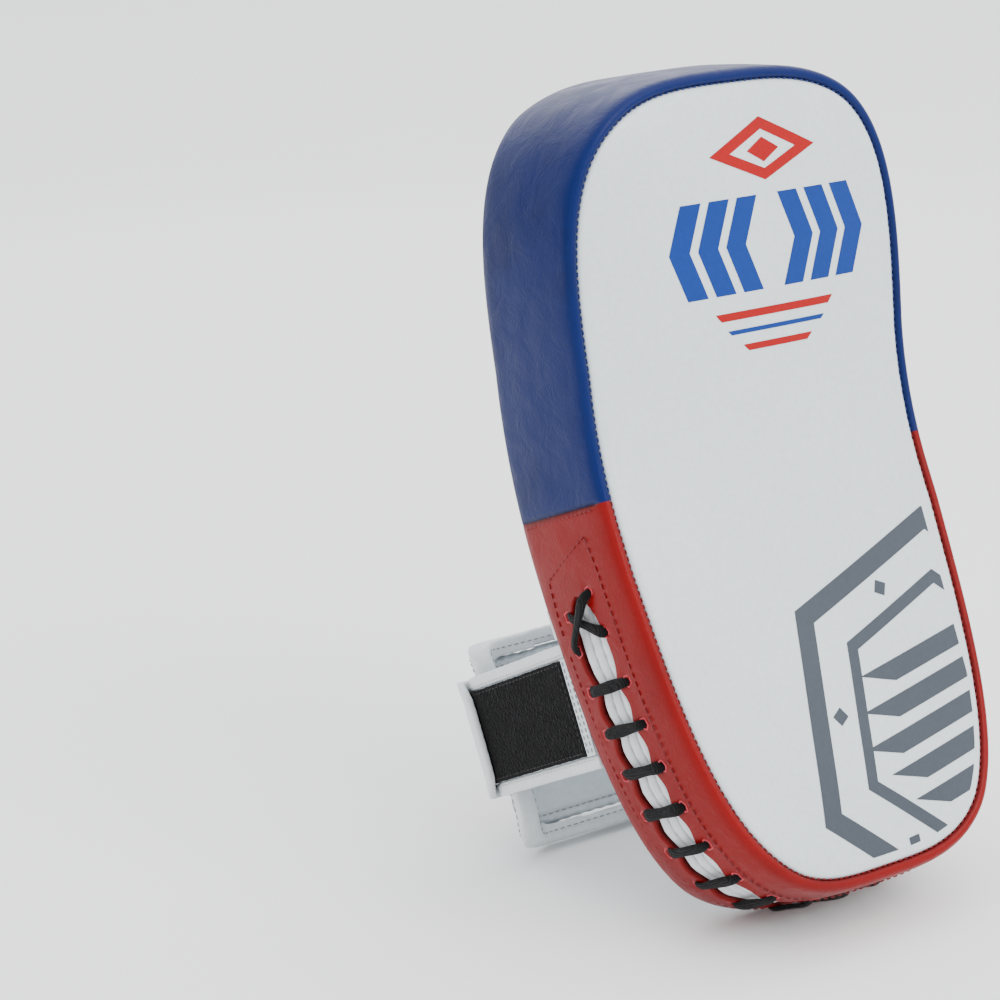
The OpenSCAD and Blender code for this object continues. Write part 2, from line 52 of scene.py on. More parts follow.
# ---- frame maths (mm in, metres out)
LEAN, LIFT, DEPTH = math.radians(25), 33 * math.sin(math.radians(25)), 90.56
S0, RB, BEND = 175.0, 229.0, math.radians(19.6069)
S1 = S0 + RB * BEND
PAD_LEN, FACE_SEAM = 380.0, 5.8
LOW_HEIGHT, LOW_ROUND, TOP_HEIGHT, TOP_ROUND = 159.0, 3.4, 125.0, 3.1
COLOUR_SEAM_S, SLOT_END_S = 194.0, 157.0
CROSS_HOLES = ((157, -6.5), (134, 17), (138, -9), (150, 15.5))
ARCH_A, ARCH_H, ARCH_R, RIM = 83.5, 114.0, 28.0, 33.0
WALL = ARCH_H - ARCH_R
ARC = ARCH_R * math.pi / 2
ARCH_L = 2 * (WALL + ARC) + 2 * (ARCH_A - ARCH_R)
LACE_PITCH, LACE_COUNT = 19.85, 9


def world(x, y, z):
    x, y, z = np.broadcast_arrays(np.asarray(x, float), np.asarray(y, float), np.asarray(z, float))
    c, s = math.cos(LEAN), math.sin(LEAN)
    return np.stack([x, y * c + z * s - DEPTH, -y * s + z * c + LIFT], -1) / 1000


def unworld(p):
    p = np.asarray(p, float) * 1000
    c, s = math.cos(LEAN), math.sin(LEAN)
    y, z = p[..., 1] + DEPTH, p[..., 2] - LIFT
    return p[..., 0], y * c - z * s, y * s + z * c


def pad(x, w, s):
    x, w, s = np.broadcast_arrays(np.asarray(x, float), np.asarray(w, float), np.asarray(s, float))
    a = np.clip((s - S0) / RB, 0, BEND)
    over = np.maximum(s - S1, 0)
    y = np.where(s <= S0, w, -RB + (RB + w) * np.cos(a) - over * math.sin(BEND))
    z = np.where(s <= S0, s, S0 + (RB + w) * np.sin(a) + over * math.cos(BEND))
    return world(x, y, z)


def half_w(s):
    return 92.8 + 0.0525 * np.where(s < S0, s - S0, np.where(s > S1, s - S1, 0))


def smooth_max(a, b, k=1.2):
    h = np.clip(0.5 + 0.5 * (a - b) / k, 0, 1)
    return b * (1 - h) + a * h + k * h * (1 - h)


def face_w(x, s):
    f = 716.08 - np.sqrt(755.08 ** 2 - np.clip(x, -110, 110) ** 2)
    for q in (s, PAD_LEN - s):
        q = np.minimum(q, 60)
        f = smooth_max(f, 236.43 - np.sqrt(276.03 ** 2 - (q - 60) ** 2))
    return f


def back_w(x, s):
    b = -527.06 + np.sqrt(568.06 ** 2 - np.clip(x, -110, 110) ** 2)
    for q in (s, PAD_LEN - s):
        q = np.minimum(q, 50)
        b = -smooth_max(-b, 108.05 - np.sqrt(149.65 ** 2 - (q - 50) ** 2))
    return b


def arch(l, k):
    l, k = np.broadcast_arrays(np.asarray(l, float), np.asarray(k, float))
    m = np.minimum(l, ARCH_L - l)
    f = np.clip((m - WALL) / ARCH_R, 0, math.pi / 2)
    x = -(ARCH_A - ARCH_R) - (ARCH_R + k) * np.cos(f) + np.maximum(m - WALL - ARC, 0)
    y = RIM + np.minimum(m, WALL) + (ARCH_R + k) * np.sin(f)
    return np.where(l <= ARCH_L / 2, x, -x), y


def strap(l, z, k):
    x, y = arch(l, k)
    return world(x, y, z)


def unarch(x, y):
    """(l, k) of a point by the strap loop."""
    ax = np.abs(x)
    top = y > RIM + WALL
    corner = top & (ax > ARCH_A - ARCH_R)
    f = np.arctan2(y - RIM - WALL, np.maximum(ax - (ARCH_A - ARCH_R), 1e-6))
    r = np.hypot(y - RIM - WALL, ax - (ARCH_A - ARCH_R))
    m = np.where(corner, WALL + f * ARCH_R, np.where(top, WALL + ARC + (ARCH_A - ARCH_R) - ax, y - RIM))
    k = np.where(corner, r - ARCH_R, np.where(top, y - RIM - ARCH_H, ax - ARCH_A))
    return np.where(x <= 0, m, ARCH_L - m), k


def lx(x):
    return WALL + ARC + x + ARCH_A - ARCH_R


# ---- materials
def new_mat(name):
    m = bpy.data.materials.new(name)
    m.use_nodes = True
    nt = m.node_tree
    nt.nodes.clear()
    out = nt.nodes.new("ShaderNodeOutputMaterial")
    p = nt.nodes.new("ShaderNodeBsdfPrincipled")
    nt.links.new(p.outputs[0], out.inputs[0])
    return m, nt, p


def node(nt, kind, inputs=(), **props):
    n = nt.nodes.new(kind)
    for k, v in props.items():
        setattr(n, k, v)
    for k, v in dict(inputs).items():
        if hasattr(v, "is_output"):
            nt.links.new(v, n.inputs[k])
        else:
            n.inputs[k].default_value = v
    return n


def ramp(nt, fac, stops):
    n = node(nt, "ShaderNodeValToRGB", {0: fac})
    e = n.color_ramp.elements
    while len(e) < len(stops):
        e.new(0.5)
    for i, (pos, c) in enumerate(stops):
        e[i].position = pos
        e[i].color = (*c, 1) if len(c) == 3 else c
    return n.outputs[0]


def leather(
    name, color, rough=0.36, grain=1150, bump=0.16, crease=0.25, dark=0.86, coat=0.08, edge=None,
    spec=0.4):
    m, nt, p = new_mat(name)
    tc = node(nt, "ShaderNodeTexCoord").outputs["Object"]
    big = node(nt, "ShaderNodeTexNoise", {"Vector": tc, "Scale": 16, "Detail": 4, "Roughness": 0.6})
    fine = node(nt, "ShaderNodeTexNoise", {"Vector": tc, "Scale": 420, "Detail": 3, "Roughness": 0.55})
    pores = node(nt, "ShaderNodeTexVoronoi", {"Vector": tc, "Scale": grain}, feature="SMOOTH_F1")
    wrinkle = node(
        nt, "ShaderNodeTexNoise",
        {"Vector": tc, "Scale": 70, "Detail": 5, "Roughness": 0.65, "Distortion": 0.6})
    c0 = [v * dark for v in color]
    c1 = [min(1, v * 1.04) for v in color]
    col = ramp(nt, big.outputs[0], [(0.25, c0), (0.5, color), (0.75, c1)])
    speck = ramp(nt, fine.outputs[0], [(0.3, (0.93,) * 3), (0.62, (1.0,) * 3)])
    mix = node(nt, "ShaderNodeMix", {0: 1.0, 6: col, 7: speck}, data_type="RGBA", blend_type="MULTIPLY")
    colour = mix.outputs[2]
    # edge is a darker colour blended in by the mesh's per-point weight: painted shade in seams, folds, grooves
    # and stitched channels, not a colour of the leather
    if edge is not None:
        at = node(nt, "ShaderNodeAttribute", attribute_name="seam")
        crease_shade_mix = node(nt, "ShaderNodeMix", {0: at.outputs["Fac"], 6: colour, 7: (*edge, 1)}, data_type="RGBA")
        colour = crease_shade_mix.outputs[2]
    nt.links.new(colour, p.inputs["Base Color"])
    rg = node(
        nt, "ShaderNodeMapRange",
        {0: wrinkle.outputs[0], 1: 0.3, 2: 0.7, 3: rough - 0.05, 4: rough + 0.07})
    nt.links.new(rg.outputs[0], p.inputs["Roughness"])
    b1 = node(nt, "ShaderNodeBump", {"Strength": crease, "Distance": 0.0012, "Height": wrinkle.outputs[0]})
    b2 = node(
        nt, "ShaderNodeBump",
        {"Strength": bump, "Distance": 0.0004, "Height": pores.outputs[0], "Normal": b1.outputs[0]})
    nt.links.new(b2.outputs[0], p.inputs["Normal"])
    p.inputs["Coat Weight"].default_value = coat
    p.inputs["Specular IOR Level"].default_value = spec
    p.inputs["Coat Roughness"].default_value = 0.22
    p.inputs["IOR"].default_value = 1.48
    return m


def thread(name, color):
    m, nt, p = new_mat(name)
    tc = node(nt, "ShaderNodeTexCoord").outputs["Object"]
    w = node(
        nt, "ShaderNodeTexWave", {"Vector": tc, "Scale": 1500, "Distortion": 2.0},
        bands_direction="DIAGONAL")
    nt.links.new(ramp(nt, w.outputs[0], [(0, [v * 0.7 for v in color]), (1, color)]), p.inputs["Base Color"])
    b = node(nt, "ShaderNodeBump", {"Strength": 0.4, "Distance": 0.0002, "Height": w.outputs[0]})
    nt.links.new(b.outputs[0], p.inputs["Normal"])
    p.inputs["Roughness"].default_value = 0.62
    return m


def fabric(name, color, scale=1100, rough=0.85, sheen=0.25, bump=0.6, light=1.9):
    m, nt, p = new_mat(name)
    tc = node(nt, "ShaderNodeTexCoord").outputs["Object"]
    n1 = node(nt, "ShaderNodeTexNoise", {"Vector": tc, "Scale": scale, "Detail": 4, "Roughness": 0.7})
    n2 = node(nt, "ShaderNodeTexNoise", {"Vector": tc, "Scale": 90, "Detail": 3})
    w1 = node(nt, "ShaderNodeTexWave", {"Vector": tc, "Scale": 520, "Distortion": 1.5}, bands_direction="X")
    mixh = node(nt, "ShaderNodeMath", {0: n1.outputs[0], 1: w1.outputs[0]}, operation="ADD")
    c = ramp(nt, n1.outputs[0], [(0.3, [v * 0.55 for v in color]), (0.7, [min(1, v * light) for v in color])])
    t = ramp(nt, n2.outputs[0], [(0.3, (0.8,) * 3), (0.7, (1.0,) * 3)])
    mx = node(nt, "ShaderNodeMix", {0: 1.0, 6: c, 7: t}, data_type="RGBA", blend_type="MULTIPLY")
    nt.links.new(mx.outputs[2], p.inputs["Base Color"])
    b = node(nt, "ShaderNodeBump", {"Strength": bump, "Distance": 0.0006, "Height": mixh.outputs[0]})
    nt.links.new(b.outputs[0], p.inputs["Normal"])
    p.inputs["Roughness"].default_value = rough
    p.inputs["Sheen Weight"].default_value = sheen
    p.inputs["Sheen Roughness"].default_value = 0.5
    p.inputs["Specular IOR Level"].default_value = 0.15
    return m


def metal(name):
    m, nt, p = new_mat(name)
    tc = node(nt, "ShaderNodeTexCoord").outputs["Object"]
    n1 = node(nt, "ShaderNodeTexNoise", {"Vector": tc, "Scale": 900, "Detail": 5, "Roughness": 0.7})
    nt.links.new(
        ramp(nt, n1.outputs[0], [(0.2, (0.24, 0.24, 0.25)), (0.8, (0.42, 0.42, 0.43))]),
        p.inputs["Base Color"])
    rg = node(nt, "ShaderNodeMapRange", {0: n1.outputs[0], 1: 0.3, 2: 0.8, 3: 0.08, 4: 0.26})
    nt.links.new(rg.outputs[0], p.inputs["Roughness"])
    p.inputs["Metallic"].default_value = 1.0
    return m


WHITE = (0.60, 0.655, 0.69)
# Each edge= colour below is painted shade laid into seams, folds and grooves; on the lining it is the shade in
# the grooves between its folds
M_WHITE = leather("white_leather", WHITE, 0.36, crease=0.18, dark=0.975, edge=(0.42, 0.45, 0.48))
M_TRIM = leather("white_binding", (0.66, 0.69, 0.705), 0.36, crease=0.35, dark=0.95, edge=(0.45, 0.47, 0.49))
M_LINING = leather(
    "lining_white", (0.66, 0.69, 0.71), 0.27, crease=0.2, dark=0.95, coat=0.25, edge=(0.10, 0.11, 0.13))
M_BLUE = leather(
    "blue_leather", (0.0010, 0.0085, 0.080), 0.38, crease=0.42, dark=0.72, coat=0.0,
    edge=(0.001, 0.005, 0.045), spec=0.16)
M_RED = leather(
    "red_leather", (0.185, 0.0012, 0.0016), 0.38, crease=0.42, dark=0.75, coat=0.0,
    edge=(0.05, 0.0005, 0.0006), spec=0.16)
M_FOAM = fabric("foam", (0.42, 0.40, 0.34), 700, 0.95, 0.0, 0.5, 1.15)
M_LACE = fabric("lace_black", (0.002, 0.002, 0.0024), 900, 0.8, 0.04, 0.8, 2.4)
M_LOOP = fabric("loop_black", (0.0015, 0.0015, 0.0018), 1500, 0.95, 0.05, 1.0, 2.6)
M_STEEL = metal("steel")
T_GREY = thread("thread_grey", (0.33, 0.35, 0.37))
T_BLACK = thread("thread_black", (0.02, 0.02, 0.022))
T_RED = thread("thread_dark_red", (0.20, 0.004, 0.006))
T_BLUE = thread("thread_blue", (0.01, 0.03, 0.16))
T_WHITE = thread("thread_white", (0.62, 0.64, 0.66))
P_RED = leather("print_red", (0.32, 0.002, 0.003), 0.42, crease=0.1, dark=0.97, coat=0.0, spec=0.2)
P_BLUE = leather("print_blue", (0.0015, 0.030, 0.20), 0.42, crease=0.1, dark=0.97, coat=0.0, spec=0.2)
P_GREY = leather("print_grey", (0.052, 0.062, 0.076), 0.42, crease=0.1, dark=0.97, coat=0.0, spec=0.2)


# ---- mesh helpers
def make(name, verts, faces, mat, body="pad", smooth=True, seam=None, merge=0.0):
    me = bpy.data.meshes.new(name)
    me.from_pydata([tuple(v) for v in verts], [], [tuple(int(i) for i in f) for f in faces])
    # Per-point weight of painted shade in seams, folds and grooves, read by the leather materials
    if seam is not None:
        a = me.attributes.new("seam", "FLOAT", "POINT")
        a.data.foreach_set("value", np.asarray(seam, np.float32).ravel())
    o = bpy.data.objects.new(name, me)
    bpy.context.scene.collection.objects.link(o)
    if merge:
        bm = bmesh.new()
        bm.from_mesh(me)
        bmesh.ops.remove_doubles(bm, verts=bm.verts, dist=merge)
        bmesh.ops.dissolve_degenerate(bm, dist=1e-6, edges=bm.edges)
        bm.to_mesh(me)
        bm.free()
    me.materials.append(mat)
    if smooth:
        me.polygons.foreach_set("use_smooth", [True] * len(me.polygons))
    me.update()
    if body:
        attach(o, body)
    return o


def smooth_once(o):
    m = o.modifiers.new("smooth", "SUBSURF")
    m.levels = m.render_levels = 1


def grid(nu, nv, wrap_u=False, wrap_v=False, base=0, flip=False):
    iu = np.arange(nu if wrap_u else nu - 1)
    iv = np.arange(nv if wrap_v else nv - 1)
    u, v = np.meshgrid(iu, iv, indexing="ij")
    u2, v2 = (u + 1) % nu, (v + 1) % nv
    f = np.stack([u * nv + v, u2 * nv + v, u2 * nv + v2, u * nv + v2], -1).reshape(-1, 4) + base
    return f[:, ::-1] if flip else f


def seed_noise(p, scale, seed=0.0):
    """Smooth noise in -1..1 at each point of an (n, 3) array in metres."""
    return np.array([noise.noise(Vector((
        q[0] * scale + seed, q[1] * scale - seed, q[2] * scale))) for q in np.asarray(p).reshape(-1, 3)])


def tube(pts, side, up, a, b, n=12, caps=True):
    """Elliptic tube: half width a along side, half height b along up, one value per point."""
    pts, side, up = np.asarray(pts), np.asarray(side), np.asarray(up)
    m = len(pts)
    a, b = np.broadcast_to(np.asarray(a, float), m), np.broadcast_to(np.asarray(b, float), m)
    t = np.linspace(0, 2 * math.pi, n, endpoint=False)
    v = (pts[:, None, :] + side[:, None, :] * (a[:, None] * np.cos(t))[..., None] / 1000
         + up[:, None, :] * (b[:, None] * np.sin(t))[..., None] / 1000).reshape(-1, 3)
    f = [tuple(q) for q in grid(m, n, wrap_v=True)]
    if caps:
        v = np.vstack([v, pts[0], pts[-1]])
        f += [(m * n, (i + 1) % n, i) for i in range(n)]
        f += [(m * n + 1, (m - 1) * n + i, (m - 1) * n + (i + 1) % n) for i in range(n)]
    return v, f


def join_parts(parts):
    vs, fs, base = [], [], 0
    for v, f in parts:
        vs.append(np.asarray(v))
        fs += [tuple(int(i) + base for i in q) for q in f]
        base += len(v)
    return np.vstack(vs), fs


def unit(v):
    v = np.asarray(v, float)
    return v / np.maximum(np.linalg.norm(v, axis=-1, keepdims=True), 1e-12)


def resample(p, step):
    p = np.asarray(p, float)
    d = np.r_[0, np.cumsum(np.linalg.norm(np.diff(p, axis=0), axis=1))]
    n = max(2, int(round(d[-1] / step)) + 1)
    t = np.linspace(0, d[-1], n)
    return np.stack([np.interp(t, d, p[:, i]) for i in range(p.shape[1])], -1)


def stitches(name, paths, mat, body="pad", pitch=4.2, length=3.0, r=0.32, lift=0.12):
    """Rows of single stitches. Each path is (points, normals) in metres."""
    prof = [
        (-0.5, 0.25, -0.35), (-0.4, 0.85, 0.0), (-0.15, 1.0, 0.35), (0.15, 1.0, 0.35), (0.4, 0.85, 0.0),
        (0.5, 0.25, -0.35)]
    parts = []
    for pts, nor in paths:
        q = np.hstack([np.asarray(pts) * 1000, np.asarray(nor)])
        d = np.r_[0, np.cumsum(np.linalg.norm(np.diff(q[:, :3], axis=0), axis=1))]
        n = max(1, int(d[-1] / pitch))
        for c in (np.arange(n) + 0.5) * d[-1] / n:
            def at(t):
                return np.array([np.interp(t, d, q[:, i]) for i in range(6)])
            a, b, m = at(c - length / 2), at(c + length / 2), at(c)
            t = unit(b[:3] - a[:3])
            up = unit(m[3:])
            side = unit(np.cross(t, up))
            P = [(m[:3] + t * length * u + up * (lift + r * h)) / 1000 for u, _, h in prof]
            v, f = tube(
                P, np.tile(side, (6, 1)), np.tile(up, (6, 1)), [r * w for _, w, _ in prof],
                [r * w for _, w, _ in prof], 6)
            parts.append((v, f))
    v, f = join_parts(parts)
    return make(name, v, f, mat, body)


# ---- pad outline
def outline_half():
    a = np.linspace(0, math.pi / 2, 3000)
    s = LOW_HEIGHT * (1 - np.cos(a) ** (2 / LOW_ROUND))
    low = np.stack([half_w(s) * np.sin(a) ** (2 / LOW_ROUND), s], -1)
    s = PAD_LEN - TOP_HEIGHT + TOP_HEIGHT * np.sin(a) ** (2 / TOP_ROUND)
    top = np.stack([half_w(s) * np.cos(a) ** (2 / TOP_ROUND), s], -1)
    top[-1, 0] = 0
    return np.vstack([low, top])


HALF = outline_half()
HD = np.r_[0, np.cumsum(np.linalg.norm(np.diff(HALF, axis=0), axis=1))]


def arc_of_s(s):
    return float(np.interp(s, HALF[:, 1], HD))


LACE_ARC = [LACE_PITCH * (i + 0.5) for i in range(LACE_COUNT)]
t = list(np.linspace(0, HD[-1], 176))
for c in LACE_ARC + [arc_of_s(v) for v, _ in CROSS_HOLES]:
    t += [c - 2.2, c - 1.1, c, c + 1.1, c + 2.2]
t += [arc_of_s(v) for v in np.linspace(128, 157.5, 22)]
t += [arc_of_s(194) + d for d in (-5, -3, -1.6, -0.8, 0, 0.8, 1.6, 3, 5)]
t = np.array(sorted(v for v in t if 0 <= v <= HD[-1]))
keep = [0]
for i in range(1, len(t)):
    if t[i] - t[keep[-1]] > 0.55:
        keep.append(i)
t = t[keep]
t[-1] = HD[-1]
HX, HS = np.interp(t, HD, HALF[:, 0]), np.interp(t, HD, HALF[:, 1])
X = np.r_[HX, -HX[-2:0:-1]]
S = np.r_[HS, HS[-2:0:-1]]
HARC = np.r_[t, t[-2:0:-1]]
NST = len(X)
LX = np.r_[0, np.cumsum(np.hypot(np.diff(X), np.diff(S)))]


def loop_normals(x, s):
    dx, ds = np.roll(x, -2) - np.roll(x, 2), np.roll(s, -2) - np.roll(s, 2)
    n = unit(np.stack([ds, -dx], -1))
    for _ in range(3):
        n = unit(n + 0.5 * (np.roll(n, 1, 0) + np.roll(n, -1, 0)))
    return n


NRM = loop_normals(X, S)


def rim_at(n):
    """Outline points moved by n mm outward (n per station or a number)."""
    return X + NRM[:, 0] * n, S + NRM[:, 1] * n


# ---- gusset with the laced slot
def slot_half():
    """Half width of the laced slot at every station, and how near a lace stitch is (1 at a stitch)."""
    arcs = np.array(LACE_ARC)
    g = np.zeros(NST)
    near = np.zeros(NST)
    for i in range(NST):
        a = HARC[i]
        d = np.abs(arcs - a).min()
        near[i] = math.exp(-(d / 6.0) ** 2)
        full = 12.4 - 3.4 * near[i]
        s = S[i]
        if s > 128:
            full *= math.sqrt(max(0, 1 - ((s - 128) / 29.0) ** 2))
        g[i] = full if s < SLOT_END_S else 0
    return g, near


GAP, NEAR = slot_half()
CENTRE = 4.0


def dimple(w):
    """Small puckers where the lace enters the leather."""
    holes = [(a, wc) for a in LACE_ARC for wc in (-12.2, 18.2)] + [(arc_of_s(s), wc) for s, wc in CROSS_HOLES]
    return sum(1.5 * np.exp(-((HARC - a) ** 2 + (w - wc) ** 2) / 4.2) for a, wc in holes)


def gusset():
    f = face_w(*rim_at(-4))
    b = back_w(*rim_at(-2))
    fb = 1.0 + 0.10 * np.sin(LX * 2 * math.pi / 5.3) + 0.08 * np.sin(LX * 2 * math.pi / 3.7 + 1)
    rows = []
    # The third value of each row weighs painted shade: darker where the gusset folds into the rim seams and at
    # the slot lips
    for n, dw, sm in ((-5.9, 2.2, 1), (-5.7, 0.9, 1), (-5.2, -0.1, 0.75), (-4.5, -0.75, 0.2), (-3.6, -1.05, 0), (-2.5, -0.95, 0), (-1.45, -0.35, 0),
                      (-0.6, 0.75, 0), (-0.05, 2.3, 0), (0.3, 4.2, 0), (0.55, 6.5, 0)):
        puck = 0.28 * (fb - 1) * 4 * math.exp(-(n + 5.7) ** 2 / 3)
        rows.append((n + puck, f + dw, sm))
    wl = f + 6.5
    lip_f, lip_b = CENTRE - GAP, CENTRE + GAP
    body = []
    fr = [0.12, 0.24, 0.36, 0.46, 0.55, 0.63, 0.70, 0.77, 0.83, 0.89, 0.945, 0.985]
    for q in fr:
        w = wl + (lip_f - wl) * q
        body.append((0.7 + 0.9 * math.sin(q * 1.4), w, 0))
    edge_f = [
        (1.35, lip_f, 0.05), (0.95, lip_f + 0.5, 0.3), (0.2, lip_f + 0.75, 0.7), (-0.9, lip_f + 0.8, 1),
        (-2.4, lip_f + 0.5, 1)]
    open_ = np.clip(GAP / 2.5, 0, 1)
    front = rows + body
    ef = []
    for n, w, sm in edge_f:
        ef.append((
            1.587 - 0.237 * open_ + (n - 1.35) * open_,
            np.where(GAP > 0.01, np.minimum(w, CENTRE - 0.02 * (1 - open_)), CENTRE), sm * open_))
    be = []
    for n, w, sm in [
        (-2.4, -0.5, 1), (-0.9, -0.8, 1), (0.2, -0.75, 0.7), (0.95, -0.5, 0.3), (1.35, 0.0, 0.05)]:
        be.append((
            1.587 - 0.237 * open_ + (n - 1.35) * open_,
            np.where(GAP > 0.01, np.maximum(lip_b + w, CENTRE), CENTRE), sm * open_))
    wr = b - 3.5
    bb = [(0.7 + 0.9 * math.sin((1 - q) * 1.4), lip_b + (wr - lip_b) * q, 0) for q in (
        0.03, 0.1, 0.18, 0.27, 0.36, 0.46, 0.57, 0.68, 0.8, 0.9)]
    br = [
        (0.45, wr, 0), (0.2, b - 2.3, 0), (-0.25, b - 1.2, 0), (-0.95, b - 0.5, 0.2),
        (-1.8, b - 0.35, 0.7), (-2.5, b - 0.9, 1)]
    sets = {"front": front + ef, "back": be + bb + br}
    seam_line = np.exp(-((S - COLOUR_SEAM_S) / 1.1) ** 2)
    ridge = np.exp(-((S - 190.5) / 2.2) ** 2)
    out = {}
    for key, rr in sets.items():
        V, Q = [], []
        for n, w, sm in rr:
            w = np.broadcast_to(w, NST)
            nn = np.broadcast_to(n, NST).astype(float).copy()
            wrap = np.clip((w + 33) / 5, 0, 1) * np.clip((33 - w) / 5, 0, 1)
            P = pad(X, w, S)
            lump = 0.45 * seed_noise(P, 26, 3.1) + 0.22 * seed_noise(P, 80, 7.7)
            nn += wrap * (lump - 1.1 * seam_line + 0.35 * ridge) - dimple(w) * (S < 160)
            x, s = rim_at(nn)
            V.append(pad(x, w, s))
            # Painted shade: the row weight, and a dark line along the groove of the colour seam
            Q.append(np.maximum(np.broadcast_to(sm, NST), 0.9 * seam_line * wrap))
        out[key] = (np.stack(V, 1), np.stack(Q, 1))
    red = (S + np.roll(S, -1)) / 2 < COLOUR_SEAM_S
    for name, mask, mat, slot in (
        ("gusset_lower", red, M_RED, "red_leather"), ("gusset_upper", ~red, M_BLUE, "blue_leather")):
        vs, fs, sm, base = [], [], [], 0
        for key in ("front", "back"):
            V, Q = out[key]
            nv = V.shape[1]
            f4 = grid(NST, nv, wrap_u=True, base=base).reshape(NST, nv - 1, 4)[mask].reshape(-1, 4)
            vs.append(V.reshape(-1, 3))
            sm.append(Q.ravel())
            fs.append(f4)
            base += NST * nv
        v, f, q = np.vstack(vs), np.vstack(fs), np.concatenate(sm)
        used = np.unique(f)
        remap = -np.ones(len(v), int)
        remap[used] = np.arange(len(used))
        o = make(name, v[used], remap[f], mat, seam=q[used], merge=2e-6)
        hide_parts("gusset_red" if name == "gusset_lower" else "gusset_blue")
        smooth_once(o)


gusset()


def on_gusset(arcs, w, side, n=1.3):
    """Points and outward normals on the gusset at given arc positions (side 1 right, -1 left)."""
    arcs, w = np.broadcast_arrays(np.asarray(arcs, float), np.asarray(w, float))
    x, s = np.interp(arcs, t, HX), np.interp(arcs, t, HS)
    nx, ns = np.interp(arcs, t, NRM[:len(t), 0]), np.interp(arcs, t, NRM[:len(t), 1])
    p = pad(side * (x + nx * n), w, s + ns * n)
    q = pad(side * (x + nx * (n + 1)), w, s + ns * (n + 1))
    return p, unit(q - p)


# dark red stitching round the slot, and along the seam between the blue and red leather
rows = []
for side in (1, -1):
    ar = np.linspace(0.0, arc_of_s(163), 150)
    rows.append(on_gusset(ar, -18.5 + 0 * ar, side, 1.55))
    rows.append(on_gusset(ar[:-20], 25.0 + 0 * ar[:-20], side, 1.0))
    a0, a1, a2 = arc_of_s(163), arc_of_s(181), arc_of_s(168)
    rows.append(on_gusset(np.linspace(a0, a1, 12), np.linspace(-18.5, -16, 12), side, 1.5))
    rows.append(on_gusset(np.linspace(a1, a2, 16), np.linspace(-16, 22, 16), side, 1.5))
    rows.append(on_gusset(np.linspace(a2, arc_of_s(142), 16), np.linspace(22, 25, 16), side, 1.2))
stitches("slot_stitching", rows, T_RED, pitch=4.0, length=2.7, r=0.36, lift=0.1)
rows = []
for side in (1, -1):
    ws = np.linspace(-27, 29, 30)
    rows.append(on_gusset(np.full(30, arc_of_s(COLOUR_SEAM_S - 2.4)), ws, side, 1.15))
stitches("colour_seam_stitching", rows, T_RED, pitch=3.4, length=2.3, r=0.34, lift=0.1)


# ---- face panel
def face_panel():
    d = [5.75, 5.85, 6.2, 6.8, 7.6, 8.6, 9.9, 11.6, 14.0, 17.5, 22.0]
    h = [2.3, 1.1, 0.25, -0.25, -0.55, -0.75, -0.88, -0.95, -0.98, -0.95, -0.9]
    V, Q = [], []
    wav = np.sin(LX * 2 * math.pi / 5.3) + 0.6 * np.sin(LX * 2 * math.pi / 3.7 + 1)
    for dd, hh in zip(d, h):
        x, s = rim_at(-dd)
        pk = -0.16 * wav * math.exp(-((dd - 7.0) / 2.2) ** 2)
        V.append((x, s, face_w(x, s) + hh - pk))
        # Painted shade: darker at the outer rim where the face tucks into the seam
        Q.append(np.full(NST, 1.0 if dd < 6 else 0.55 if dd < 6.5 else 0.12 if dd < 7 else 0.0))
    x0, s0 = rim_at(-22.0)
    mid = np.clip(S, 78, 302) * 0.94 + 190 * 0.06
    for fq in np.linspace(0, 1, 18)[1:]:
        x, s = x0 * (1 - fq), s0 * (1 - fq) + mid * fq
        V.append((x, s, face_w(x, s) - 0.9))
        Q.append(np.zeros(NST))
    P = np.stack([pad(x, w, s) for x, s, w in V], 1)
    flat = P.reshape(-1, 3)
    lump = 0.30 * seed_noise(flat, 14, 1.7) + 0.12 * seed_noise(flat, 45, 5.2)
    xs, ss, ws = (np.stack([v[i] for v in V], 1).ravel() for i in range(3))
    flat = pad(xs, ws + lump, ss)
    o = make(
        "face_skin", flat, grid(NST, len(V), wrap_u=True, flip=True), M_WHITE,
        seam=np.stack(Q, 1).ravel(), merge=2e-6)
    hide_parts("face_panel")
    smooth_once(o)
    return o


FACE = face_panel()


def bvh(o):
    dg = bpy.context.evaluated_depsgraph_get()
    e = o.evaluated_get(dg)
    me = e.to_mesh()
    tree = BVHTree.FromPolygons([v.co.copy() for v in me.vertices], [tuple(p.vertices) for p in me.polygons])
    e.to_mesh_clear()
    return tree


FACE_TREE = bvh(FACE)


def face_pt(x, s, lift):
    """Point just over the face skin at flat position (x, s)."""
    w = float(face_w(np.array(x), np.array(s)))
    p0, p1 = pad(x, w - 12, s), pad(x, w + 6, s)
    dr = Vector(p1 - p0).normalized()
    hit = FACE_TREE.ray_cast(Vector(p0), dr)
    p = hit[0] if hit[0] is not None else Vector(pad(x, w - 0.9, s))
    return p - dr * lift / 1000


# fine dark seam stitches that show between the face and the gusset
for lo, hi, mat, nm in ((0, 194, T_RED, "rim_seam_lower"), (194, 380, T_BLUE, "rim_seam_upper")):
    rows = []
    for side in (1, -1):
        ar = np.linspace(arc_of_s(lo), min(arc_of_s(hi), HD[-1]), 160)
        x, s = np.interp(ar, t, HX), np.interp(ar, t, HS)
        nx, ns = np.interp(ar, t, NRM[:len(t), 0]), np.interp(ar, t, NRM[:len(t), 1])
        xx, sx = x - nx * 5.8, s - ns * 5.8
        p = pad(side * xx, face_w(xx, sx) + 0.7, sx)
        q = pad(side * xx, face_w(xx, sx) - 0.3, sx)
        rows.append((p, unit(q - p)))
    stitches(
        nm, rows, mat, pitch=3.1, length=2.1, r=0.42,
        lift=0.1)


# ---- generic prints on the face
CLIP = np.stack(rim_at(-10.5), -1)


